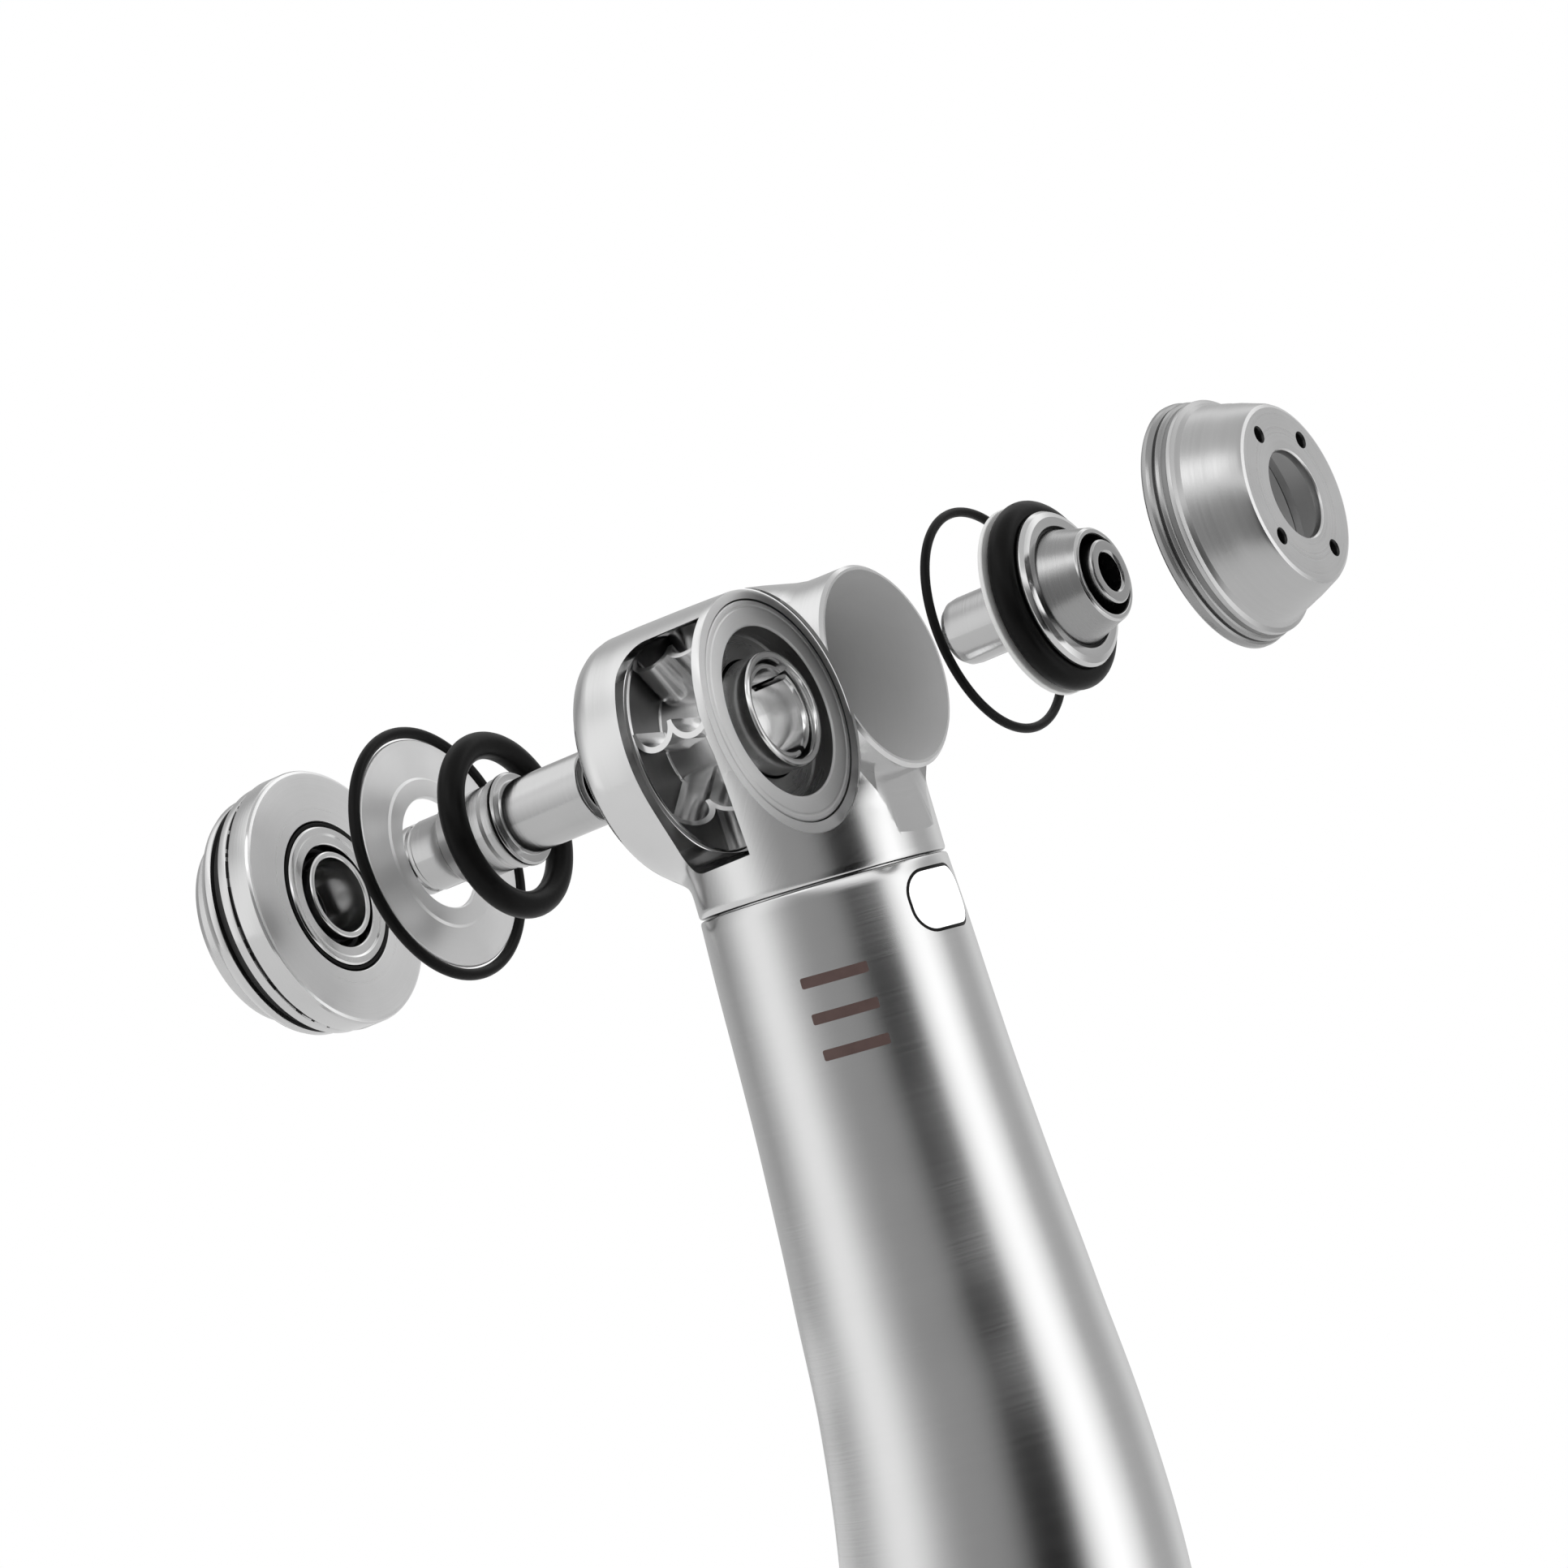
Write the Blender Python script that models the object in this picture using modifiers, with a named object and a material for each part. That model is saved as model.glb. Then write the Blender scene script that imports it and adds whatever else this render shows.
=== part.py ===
"""High speed dental handpiece, drawn with its turbine head taken apart along the head axis.

Lengths in the constants are millimetres. +Z runs up the grip from the flat face of the
hose coupling, +X is the side the bur points to, the mechanism lies in the XZ plane.
"""
import math

import bmesh
import bpy
import numpy as np
from mathutils import Matrix, Vector

MM = 0.001

# ---------------------------------------------------------------- driving dimensions
HEAD_TILT = math.radians(67.0)      # head axis H, from +Z towards +X
NECK_TILT = math.radians(19.3)      # neck axis against the grip axis
NECK_STRAIGHT = 31.0                # straight part of the neck, from the head axis
BEND_LENGTH = 26.0                  # arc that brings the neck onto the grip axis
NECK_TOP_Z = 116.0                  # where the neck axis meets the head axis
NECK_U = -0.4                       # that point, measured along the head axis

ROUND = 28                          # facets round the large turned pieces
SMALL = 16                          # facets round the small turned pieces
SEG = 24                            # facets round the handle

SEAM_S = 8.2                        # seam between neck and handle sleeve
SLEEVE_REAR_Z = 15.0
WALL = 0.8                          # wall of the handle sleeve
PILL_S = 10.3                       # centre of the light window along the neck axis
PILL_W, PILL_H, PILL_R = 4.5, 3.0, 1.25

CHAMBER_R = 5.42                    # turbine chamber in the head
BORE_R = 4.50                       # front bore of the head
NOSE_R = 4.85                       # nose the front cap slides over
HEAD_REAR, HEAD_FRONT = -7.5, 6.2   # ends of the head along its axis

U_CAP = -26.8                       # rest positions along the head axis
U_WASHER = -20.46
U_ORING = -16.3
U_SPINDLE = -18.95                  # shoulder of the spindle's collar
U_FRING = 12.22
U_FUNIT = 15.46                     # centre of the thick ring on the front bearing
U_FCAP = 24.26

SPRAY_ANGLES = (47.0, 116.5, 213.7, 302.0)   # the four spray holes, about the head axis
BLADES = 8

for _o in list(bpy.data.objects):
    bpy.data.objects.remove(_o, do_unlink=True)

MAIN = bpy.data.collections.new("dental_high_speed_handpiece")
bpy.context.scene.collection.children.link(MAIN)
CUT = bpy.data.collections.new("cutters")
bpy.context.scene.collection.children.link(CUT)

# ---------------------------------------------------------------- axes
H = Vector((math.sin(HEAD_TILT), 0.0, math.cos(HEAD_TILT)))
NECK = Vector((math.sin(NECK_TILT), 0.0, -math.cos(NECK_TILT)))
BEND_R = BEND_LENGTH / NECK_TILT
NECK_X = -(NECK_STRAIGHT * math.sin(NECK_TILT) + BEND_R * (1.0 - math.cos(NECK_TILT)))
P_NECK = Vector((NECK_X, 0.0, NECK_TOP_Z))
C = P_NECK - H * NECK_U
GRIP_Z = NECK_TOP_Z - NECK_STRAIGHT * math.cos(NECK_TILT) - BEND_R * math.sin(NECK_TILT)
PATH_END = NECK_STRAIGHT + BEND_LENGTH + GRIP_Z


def material(name, color, metallic, rough):
    m = bpy.data.materials.new(name)
    m.use_nodes = True
    b = m.node_tree.nodes["Principled BSDF"]
    b.inputs["Base Color"].default_value = (*color, 1.0)
    b.inputs["Metallic"].default_value = metallic
    b.inputs["Roughness"].default_value = rough
    m.diffuse_color = (*color, 1.0)
    return m


STEEL = dict(color=(0.62, 0.62, 0.63), metallic=1.0, rough=0.32)
BRIGHT = dict(color=(0.74, 0.74, 0.75), metallic=1.0, rough=0.18)
RUBBER = dict(color=(0.02, 0.02, 0.02), metallic=0.0, rough=0.55)


def place(obj, origin, tilt, coll=MAIN):
    obj.location = origin * MM
    obj.rotation_euler = (0.0, tilt, 0.0)
    coll.objects.link(obj)
    return obj


def finish(obj, look):
    mat = material(obj.name + "_mat", **look)
    obj.data.materials.clear()
    obj.data.materials.append(mat)
    return obj


def smooth(mesh, angle=35.0):
    for p in mesh.polygons:
        p.use_smooth = True
    if hasattr(mesh, "set_sharp_from_angle"):
        mesh.set_sharp_from_angle(angle=math.radians(angle))


def turned(name, profile, origin, tilt=HEAD_TILT, steps=ROUND, closed=True, look=None, coll=MAIN):
    """A turned piece: the profile (radius, height) runs down the outer side, then back
    up the inner one when it is closed; an open one starts and ends on the axis."""
    mesh = bpy.data.meshes.new(name)
    pts = [(r * MM, 0.0, z * MM) for r, z in profile]
    edges = [(i, i + 1) for i in range(len(pts) - 1)]
    if closed:
        edges.append((len(pts) - 1, 0))
    mesh.from_pydata(pts, edges, [])
    tmp = bpy.data.objects.new(name + "_profile", mesh)
    CUT.objects.link(tmp)
    sc = tmp.modifiers.new("turn", "SCREW")
    sc.axis = "Z"
    sc.angle = math.tau
    sc.steps = steps
    sc.render_steps = steps
    sc.use_merge_vertices = True
    sc.merge_threshold = 1e-7
    dep = bpy.context.evaluated_depsgraph_get()
    dep.update()
    done = bpy.data.meshes.new_from_object(tmp.evaluated_get(dep))
    bpy.data.objects.remove(tmp, do_unlink=True)
    bm = bmesh.new()
    bm.from_mesh(done)
    bmesh.ops.remove_doubles(bm, verts=bm.verts, dist=1e-8)
    bmesh.ops.recalc_face_normals(bm, faces=bm.faces)
    bm.to_mesh(done)
    bm.free()
    done.name = name
    smooth(done)
    obj = bpy.data.objects.new(name, done)
    place(obj, origin, tilt, coll)
    if look:
        finish(obj, look)
    return obj


def ring_profile(rc, r, n=14, squash=1.0):
    """Cross-section of an O-ring, ring radius rc, cord radius r."""
    return [(rc + r * math.cos(-a), squash * r * math.sin(-a))
            for a in (math.tau * i / n + 0.11 for i in range(n))]


def path(s):
    """Point of the handle's axis and the bend angle there, s from the head axis."""
    if s <= NECK_STRAIGHT:
        return P_NECK + NECK * s, NECK_TILT
    if s <= NECK_STRAIGHT + BEND_LENGTH:
        phi = NECK_TILT * (1.0 - (s - NECK_STRAIGHT) / BEND_LENGTH)
        start = P_NECK + NECK * NECK_STRAIGHT
        dx = BEND_R * (math.cos(phi) - math.cos(NECK_TILT))
        dz = -BEND_R * (math.sin(NECK_TILT) - math.sin(phi))
        return start + Vector((dx, 0.0, dz)), phi
    return Vector((0.0, 0.0, GRIP_Z - (s - NECK_STRAIGHT - BEND_LENGTH))), 0.0


def s_of_z(z):
    return PATH_END - z


def loft(name, stations, n, offset=(0.0, 0.0), hollow=None):
    """Rings along the handle's axis; hollow is the list of inner stations."""
    bm = bmesh.new()

    def ring(s, r):
        p, phi = path(s)
        ax = Vector((math.cos(phi), 0.0, math.sin(phi)))
        ay = Vector((0.0, 1.0, 0.0))
        return [bm.verts.new((p + ax * (offset[0] + r * math.cos(a)) + ay * (offset[1] + r * math.sin(a))) * MM)
                for a in (math.tau * i / n for i in range(n))]

    rings = [ring(s, r) for s, r in stations]
    if hollow:
        rings += [ring(s, r) for s, r in reversed(hollow)]
        rings.append(rings[0])
    for a, b in zip(rings, rings[1:]):
        for i in range(n):
            j = (i + 1) % n
            bm.faces.new((a[i], a[j], b[j], b[i]))
    if not hollow:
        bm.faces.new(rings[0])
        bm.faces.new(rings[-1])
    bmesh.ops.recalc_face_normals(bm, faces=bm.faces)
    mesh = bpy.data.meshes.new(name)
    bm.to_mesh(mesh)
    bm.free()
    smooth(mesh)
    return mesh


def cutter(name, mesh, origin=Vector((0, 0, 0)), tilt=0.0):
    obj = bpy.data.objects.new(name, mesh)
    place(obj, origin, tilt, CUT)
    obj.hide_render = True
    obj.display_type = "WIRE"
    return obj


def turned_cutter(name, profile, origin, tilt=HEAD_TILT, steps=ROUND, closed=False):
    obj = turned(name, profile, origin, tilt, steps, closed, None, CUT)
    obj.hide_render = True
    obj.display_type = "WIRE"
    return obj


def outline_prism(name, points, half, origin, matrix):
    """Flat outline filled and extruded by half each way, as a mesh in its own frame."""
    cu = bpy.data.curves.new(name, "CURVE")
    cu.dimensions = "2D"
    cu.fill_mode = "BOTH"
    cu.extrude = half * MM
    sp = cu.splines.new("POLY")
    sp.points.add(len(points) - 1)
    for p, (x, y) in zip(sp.points, points):
        p.co = (x * MM, y * MM, 0.0, 1.0)
    sp.use_cyclic_u = True
    tmp = bpy.data.objects.new(name, cu)
    CUT.objects.link(tmp)
    dep = bpy.context.evaluated_depsgraph_get()
    dep.update()
    mesh = bpy.data.meshes.new_from_object(tmp.evaluated_get(dep))
    bpy.data.objects.remove(tmp, do_unlink=True)
    bm = bmesh.new()
    bm.from_mesh(mesh)
    bmesh.ops.remove_doubles(bm, verts=bm.verts, dist=1e-8)
    bmesh.ops.recalc_face_normals(bm, faces=bm.faces)
    bm.to_mesh(mesh)
    bm.free()
    obj = bpy.data.objects.new(name, mesh)
    CUT.objects.link(obj)
    obj.matrix_world = Matrix.Translation(origin * MM) @ matrix
    obj.hide_render = True
    obj.display_type = "WIRE"
    return obj


def boolean(obj, tool, how):
    m = obj.modifiers.new(how.lower() + "_" + tool.name, "BOOLEAN")
    m.solver = "EXACT"
    m.operation = how
    m.object = tool
    return m


def bake(obj, angle=35.0):
    """Replace the object's mesh by the result of its modifiers."""
    dep = bpy.context.evaluated_depsgraph_get()
    dep.update()
    mesh = bpy.data.meshes.new_from_object(obj.evaluated_get(dep))
    obj.modifiers.clear()
    bm = bmesh.new()
    bm.from_mesh(mesh)
    bmesh.ops.dissolve_degenerate(bm, dist=2e-7, edges=bm.edges)
    bmesh.ops.remove_doubles(bm, verts=bm.verts, dist=2e-7)
    bm.to_mesh(mesh)
    bm.free()
    obj.data = mesh
    smooth(mesh, angle)
    return obj


def rounded_rect(w, h, r, n=4):
    pts = []
    for cx, cy, a0 in ((w / 2 - r, h / 2 - r, 0), (-w / 2 + r, h / 2 - r, 90),
                       (-w / 2 + r, -h / 2 + r, 180), (w / 2 - r, -h / 2 + r, 270)):
        for i in range(n + 1):
            a = math.radians(a0 + 90.0 * i / n)
            pts.append((cx + r * math.cos(a), cy + r * math.sin(a)))
    return pts


def at(u):
    return C + H * u


# ================================================================ head and neck
head = turned("head_housing", [
    (0.0, 6.2), (4.74, 6.2), (4.86, 6.05), (4.90, 3.9), (5.06, 3.1), (5.58, 1.3), (5.86, 0.0),
    (5.99, -3.0), (6.04, -6.6), (5.90, -7.25), (5.70, -7.5), (0.0, -7.5)],
    C, closed=False, steps=32)

# the neck: a round-topped tube under the head with the spigot the sleeve slides over
NECK_R = 5.84
dome = [(NECK_R * math.sin(math.radians(a)), -4.5 + NECK_R * math.cos(math.radians(a))) for a in range(0, 90, 15)]
neck = turned_cutter("neck_solid", dome + [
    (NECK_R, -4.5), (NECK_R, -SEAM_S + 0.12), (NECK_R - 0.12, -SEAM_S),
    (4.98, -SEAM_S), (4.98, -13.05), (0.0, -13.05)],
    P_NECK, tilt=-NECK_TILT, steps=SEG)
boolean(head, neck, "UNION")

# turbine chamber, open to the rear, and the front bore
chamber = turned_cutter("chamber", [
    (0.0, 8.0), (4.50, 8.0), (4.50, 0.42), (CHAMBER_R, 0.42), (CHAMBER_R, -9.0), (0.0, -9.0)], C)
boolean(head, chamber, "DIFFERENCE")

# relief turned into the neck for the skirt of the front cap
relief = turned_cutter("skirt_relief", [
    (5.95, 9.0), (5.95, 4.78), (4.88, 4.78), (4.88, 9.0)], C, closed=True)
boolean(head, relief, "DIFFERENCE")

# hollow of the neck and the two ports into the chamber
cavity = turned_cutter("neck_cavity", [
    (0.0, -7.0), (4.2, -7.0), (4.2, -14.0), (0.0, -14.0)], P_NECK, tilt=-NECK_TILT, steps=SEG)
boolean(head, cavity, "DIFFERENCE")
EX, EY = -2.1, 0.2                  # exhaust, drive air, water, chip air, light: offsets from the axis
DX, DY = 1.35, 2.0
WX, WY = 1.55, -1.15
KX, KY = 0.35, -3.05
LX, LY = 3.15, 0.0
NAX = Vector((math.cos(NECK_TILT), 0.0, math.sin(NECK_TILT)))
AY = Vector((0.0, 1.0, 0.0))
for nm, (ox, oy), r in (("exhaust_port", (EX, EY), 1.15), ("nozzle_port", (DX, DY), 0.6)):
    port = turned_cutter(nm, [(0.0, -3.6), (r, -3.6), (r, -8.0), (0.0, -8.0)],
                         P_NECK + NAX * ox + AY * oy, tilt=-NECK_TILT, steps=14)
    boolean(head, port, "DIFFERENCE")

# clearance in the spigot behind the light window
rot_x = Matrix(((0, 0, 1), (1, 0, 0), (0, 1, 0))).to_4x4()      # prism axis onto +X, width onto Y
neck_rot = Matrix.Rotation(-NECK_TILT, 4, "Y")
pill_centre = P_NECK + NECK * PILL_S
spigot_gap = outline_prism("spigot_gap", rounded_rect(PILL_W + 0.4, 5.6, 1.0), 2.6,
                           P_NECK + NECK * 11.35 + NAX * 6.2, neck_rot @ rot_x)
boolean(head, spigot_gap, "DIFFERENCE")

# the demonstration cut: everything in front of the turbine's disc, seen square to the cut's axis,
# and a slot over the blades
VIEW = Vector((0.5145, -0.8471, 0.1316)).normalized()
side = (VIEW - H * VIEW.dot(H)).normalized()            # from the head axis to the cut side
third = H.cross(side).normalized()
bm = bmesh.new()
n = 32
base, tip = [], []
CUT_R = 5.90
for i in range(n):
    a = math.tau * i / n
    p = C + (side * math.cos(a) + third * math.sin(a)) * CUT_R
    base.append(bm.verts.new(p * MM))
    tip.append(bm.verts.new((p + VIEW * 16.0) * MM))
for i in range(n):
    j = (i + 1) % n
    bm.faces.new((base[i], base[j], tip[j], tip[i]))
bm.faces.new(base)
bm.faces.new(tip)
bmesh.ops.recalc_face_normals(bm, faces=bm.faces)
mesh = bpy.data.meshes.new("disc_cut")
bm.to_mesh(mesh)
bm.free()
disc_cut = cutter("disc_cut", mesh)
boolean(head, disc_cut, "DIFFERENCE")

slot_pts = []
S_U0, S_U1, S_M0, S_M1, S_R = -4.75, -0.42, -5.55, 5.25, 1.1
for cx, cy, a0 in ((S_U0 + S_R, S_M1 - S_R, 90), (S_U0 + S_R, S_M0 + S_R, 180)):
    for i in range(4):
        a = math.radians(a0 + 90.0 * i / 3)
        slot_pts.append((cx + S_R * math.cos(a), cy + S_R * math.sin(a)))
slot_pts += [(S_U1, S_M0), (S_U1, S_M1)]
slot_m = Matrix((H, -third, side)).transposed().to_4x4()
slot = outline_prism("blade_slot", slot_pts, 4.6, C + side * 5.0, slot_m)
boolean(head, slot, "DIFFERENCE")
bake(head)
finish(head, STEEL)

# ================================================================ handle sleeve and light window
OUTER = [(SEAM_S + 0.08, 5.74), (SEAM_S + 0.2, 5.86), (14.9, 6.09), (21.0, 6.36),
         (27.2, 6.78), (31.0, 7.05), (35.0, 7.40), (39.6, 7.82), (43.0, 8.04), (47.0, 8.18), (52.0, 8.22), (57.0, 8.22)]
REAR_S = s_of_z(SLEEVE_REAR_Z)
GROOVES = [REAR_S - 24.0 + 6.0 * i for i in range(3)]
outer = list(OUTER)
for g in GROOVES:
    outer += [(g - 0.5, 8.22), (g, 7.98), (g + 0.5, 8.22)]
outer += [(REAR_S - 0.2, 8.22), (REAR_S, 8.05)]


def outer_r(s):
    xs = [p[0] for p in OUTER]
    rs = [p[1] for p in OUTER]
    return float(np.interp(s, xs, rs))


inner = [(SEAM_S + 0.08, 5.06), (13.4, 5.06)]
inner += [(s, outer_r(s) - WALL) for s in (14.2, 24.0, 31.0, 35.5, 40.0, 44.5, 50.0, 57.0)]
inner += [(REAR_S, 8.22 - WALL)]
sleeve_mesh = loft("handle_sleeve", outer, SEG, hollow=inner)
sleeve = bpy.data.objects.new("handle_sleeve", sleeve_mesh)
MAIN.objects.link(sleeve)
pocket = outline_prism("window_pocket", rounded_rect(PILL_W, PILL_H, PILL_R), 2.5,
                       pill_centre + NAX * 5.4, neck_rot @ rot_x)
boolean(sleeve, pocket, "DIFFERENCE")
bake(sleeve)
finish(sleeve, STEEL)


def window_piece(name, skin, grow_in, prism, hole=None):
    """Part of a shell that follows the sleeve's skin inside the window's outline."""
    st = [(s, outer_r(s) + skin) for s in (8.45, 12.2)]
    back = [(s, outer_r(s) - WALL + grow_in) for s in (8.45, 12.2)]
    obj = bpy.data.objects.new(name, loft(name, st, SEG, hollow=back))
    MAIN.objects.link(obj)
    boolean(obj, prism, "INTERSECT")
    if hole:
        boolean(obj, hole, "DIFFERENCE")
    return bake(obj)


seal_out = outline_prism("seal_outline", rounded_rect(PILL_W - 0.06, PILL_H - 0.06, PILL_R - 0.03), 2.0,
                         pill_centre + NAX * 5.4, neck_rot @ rot_x)
seal_in = outline_prism("seal_hole", rounded_rect(PILL_W - 0.36, PILL_H - 0.36, PILL_R - 0.18), 2.2,
                        pill_centre + NAX * 5.4, neck_rot @ rot_x)
lens_out = outline_prism("lens_outline", rounded_rect(PILL_W - 0.40, PILL_H - 0.40, PILL_R - 0.20), 2.0,
                         pill_centre + NAX * 5.4, neck_rot @ rot_x)
seal = window_piece("window_seal", 0.0, 0.05, seal_out, seal_in)
finish(seal, RUBBER)
lens = window_piece("light_window", 0.02, -0.10, lens_out)
finish(lens, dict(color=(0.93, 0.94, 0.95), metallic=0.0, rough=0.15))

# ================================================================ tubes inside the handle
TUBES = (("exhaust_tube", EX, EY, 1.45, 1.2), ("drive_air_tube", DX, DY, 1.1, 0.85),
         ("water_tube", WX, WY, 0.55, 0.35), ("chip_air_tube", KX, KY, 0.55, 0.35))
run = [7.35, NECK_STRAIGHT] + [NECK_STRAIGHT + BEND_LENGTH * i / 4 for i in range(1, 5)] + [s_of_z(0.5)]
for nm, ox, oy, ro, ri in TUBES:
    obj = bpy.data.objects.new(nm, loft(nm, [(s, ro) for s in run], 12 if ro > 0.8 else 8, (ox, oy), [(s, ri) for s in run]))
    MAIN.objects.link(obj)
    finish(obj, dict(color=(0.72, 0.72, 0.73), metallic=1.0, rough=0.3))

# the glass rod that feeds the window: it turns outwards at its upper end
rod = bmesh.new()
RN = 8
rings = []
for i in range(5):
    a = math.radians(90.0 * i / 4)
    centre = pill_centre + NAX * (LX + 1.65 * (1 - math.sin(a))) + NECK * (1.65 * (1 - math.cos(a)))
    tang = (NAX * -math.cos(a) + NECK * math.sin(a)).normalized()
    across = AY.cross(tang).normalized()
    rings.append([rod.verts.new((centre + (AY * math.cos(b) + across * math.sin(b)) * 0.7) * MM)
                  for b in (math.tau * k / RN for k in range(RN))])
lower = [NECK_STRAIGHT] + [NECK_STRAIGHT + BEND_LENGTH * i / 4 for i in range(1, 5)] + [s_of_z(0.5)]
for s in lower:
    p, phi = path(s)
    ax = Vector((math.cos(phi), 0.0, math.sin(phi)))
    tang = Vector((math.sin(phi), 0.0, -math.cos(phi)))
    across = AY.cross(tang).normalized()
    rings.append([rod.verts.new((p + ax * LX + (AY * math.cos(b) + across * math.sin(b)) * 0.7) * MM)
                  for b in (math.tau * k / RN for k in range(RN))])
for a, b in zip(rings, rings[1:]):
    for i in range(RN):
        j = (i + 1) % RN
        rod.faces.new((a[i], a[j], b[j], b[i]))
rod.faces.new(rings[0])
rod.faces.new(rings[-1])
bmesh.ops.recalc_face_normals(rod, faces=rod.faces)
mesh = bpy.data.meshes.new("light_guide")
rod.to_mesh(mesh)
rod.free()
smooth(mesh)
guide = bpy.data.objects.new("light_guide", mesh)
MAIN.objects.link(guide)
finish(guide, dict(color=(0.85, 0.90, 0.92), metallic=0.0, rough=0.05))

# disc that holds the tubes half way down the grip
HOLDER_Z = 44.0
holder = turned("tube_holder", [(0.0, 1.0), (7.34, 1.0), (7.34, -1.0), (0.0, -1.0)],
                Vector((0, 0, HOLDER_Z)), tilt=0.0, steps=SEG, closed=False)
coupling = turned("hose_coupling", [
    (0.0, 19.0), (7.0, 19.0), (7.32, 18.6), (7.32, 15.0), (8.1, 14.8), (8.22, 14.6), (8.22, 9.5), (8.0, 9.2),
    (6.0, 9.2), (5.6, 8.6)]
    + [(r, 8.0 - 1.8 * i + dz) for i in range(4) for dz, r in ((-0.4, 6.05), (-0.9, 6.05), (-1.3, 5.6))]
    + [(5.45, 0.2), (5.25, 0.0), (0.0, 0.0)],
    Vector((0, 0, 0)), tilt=0.0, steps=24, closed=False)
for nm, ox, oy, ro in [(t[0], t[1], t[2], t[3]) for t in TUBES] + [("light_guide", LX, LY, 0.7)]:
    for target, z0, z1 in ((holder, HOLDER_Z - 2.0, HOLDER_Z + 2.0), (coupling, -1.0, 20.0)):
        bore = turned_cutter(nm + "_bore_" + target.name, [
            (0.0, z1 - z0), (ro + 0.06, z1 - z0), (ro + 0.06, 0.0), (0.0, 0.0)],
            Vector((ox, oy, z0)), tilt=0.0, steps=12 if ro > 0.8 else 8)
        boolean(target, bore, "DIFFERENCE")
flats = outline_prism("wrench_flats", [(-9.0, 7.55), (9.0, 7.55), (9.0, 9.5), (-9.0, 9.5)], 1.9,
                      Vector((0, 0, 11.9)), Matrix.Identity(4))
flats2 = outline_prism("wrench_flats_2", [(-9.0, -7.55), (9.0, -7.55), (9.0, -9.5), (-9.0, -9.5)], 1.9,
                       Vector((0, 0, 11.9)), Matrix.Identity(4))
boolean(coupling, flats, "DIFFERENCE")
boolean(coupling, flats2, "DIFFERENCE")
bake(holder)
bake(coupling)
finish(holder, dict(color=(0.55, 0.42, 0.2), metallic=1.0, rough=0.35))
finish(coupling, STEEL)
coupling_ring = turned("coupling_oring", ring_profile(6.5, 0.42, 6), Vector((0, 0, 8.72)), tilt=0.0, steps=24, look=RUBBER)

# ================================================================ turbine
rotor_body = turned("impeller", [
    (5.28, 0.0), (5.35, -0.07), (5.35, -0.46), (4.46, -0.55), (4.34, -1.5), (3.3, -1.75),
    (3.02, -2.2), (3.02, -4.58), (5.22, -4.58), (5.28, -4.64), (5.28, -4.9), (2.40, -4.9), (2.40, -4.08), (1.97, -4.08), (1.97, -3.0), (2.88, -3.0),
    (2.88, -1.2), (4.12, -1.2), (4.12, 0.0)], C)

# eight buckets, each a plate bent to two half-round scoops side by side
SCOOP_OUT, SCOOP_IN, SCOOP_GAP = 1.18, 0.88, 1.02       # outer and inner radius, half the distance of the centres
U_MID = -2.52
ARC = 5
crest = math.acos(SCOOP_GAP / SCOOP_OUT)
over, under = [], []
for i in range(ARC):
    a = math.pi - (math.pi - crest) * i / (ARC - 1)
    over.append((U_MID - SCOOP_GAP + SCOOP_OUT * math.cos(a), SCOOP_OUT * math.sin(a)))
for i in range(1, ARC):
    a = (math.pi - crest) * (1.0 - i / (ARC - 1))
    over.append((U_MID + SCOOP_GAP + SCOOP_OUT * math.cos(a), SCOOP_OUT * math.sin(a)))
for centre in (U_MID + SCOOP_GAP, U_MID - SCOOP_GAP):
    for i in range(ARC):
        a = math.pi * i / (ARC - 1)
        under.append((centre + SCOOP_IN * math.cos(a), SCOOP_IN * math.sin(a)))
bucket = over + under
blades = bmesh.new()
for k in range(BLADES):
    ang = math.radians(-94.0 + 360.0 * k / BLADES)
    low, high = [], []
    for u, t in bucket:
        for rad, store in ((3.0, low), (5.22, high)):
            x = math.cos(ang) * rad - math.sin(ang) * (t - 0.62)
            y = math.sin(ang) * rad + math.cos(ang) * (t - 0.62)
            store.append(blades.verts.new((x * MM, y * MM, u * MM)))
    m = len(bucket)
    for i in range(m):
        j = (i + 1) % m
        blades.faces.new((low[i], low[j], high[j], high[i]))
    blades.faces.new(low)
    blades.faces.new(high)
bmesh.ops.recalc_face_normals(blades, faces=blades.faces)
mesh = bpy.data.meshes.new("blades")
blades.to_mesh(mesh)
blades.free()
blade_obj = cutter("blades", mesh, C, HEAD_TILT)
cup = turned_cutter("cup_clearance", [(0.0, 0.5), (4.24, 0.5), (4.24, -1.36), (0.0, -1.36)], C)
boolean(blade_obj, cup, "DIFFERENCE")
boolean(rotor_body, blade_obj, "UNION")
bake(rotor_body)
finish(rotor_body, BRIGHT)

sleeve_c = turned("chuck_sleeve", [
    (2.66, 0.35), (2.80, 0.22), (2.80, -2.92), (2.42, -2.92), (2.42, 0.35)], C,
    steps=SMALL, look=BRIGHT)
collet = turned("chuck_collet", [
    (2.20, 0.02), (2.34, -0.2), (2.34, -2.85), (1.96, -2.85), (1.96, 0.02)], C, steps=SMALL)
for k in range(3):
    a = math.radians(20.0 + 120.0 * k)
    slit = outline_prism("collet_slit_%d" % k, [(1.5, -0.21), (2.8, -0.21), (2.8, 0.21), (1.5, 0.21)], 1.0, C,
                         Matrix.Rotation(HEAD_TILT, 4, "Y") @ Matrix.Rotation(a, 4, "Z")
                         @ Matrix.Translation((0, 0, -0.75 * MM)))
    boolean(collet, slit, "DIFFERENCE")
bake(collet)
finish(collet, BRIGHT)

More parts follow.
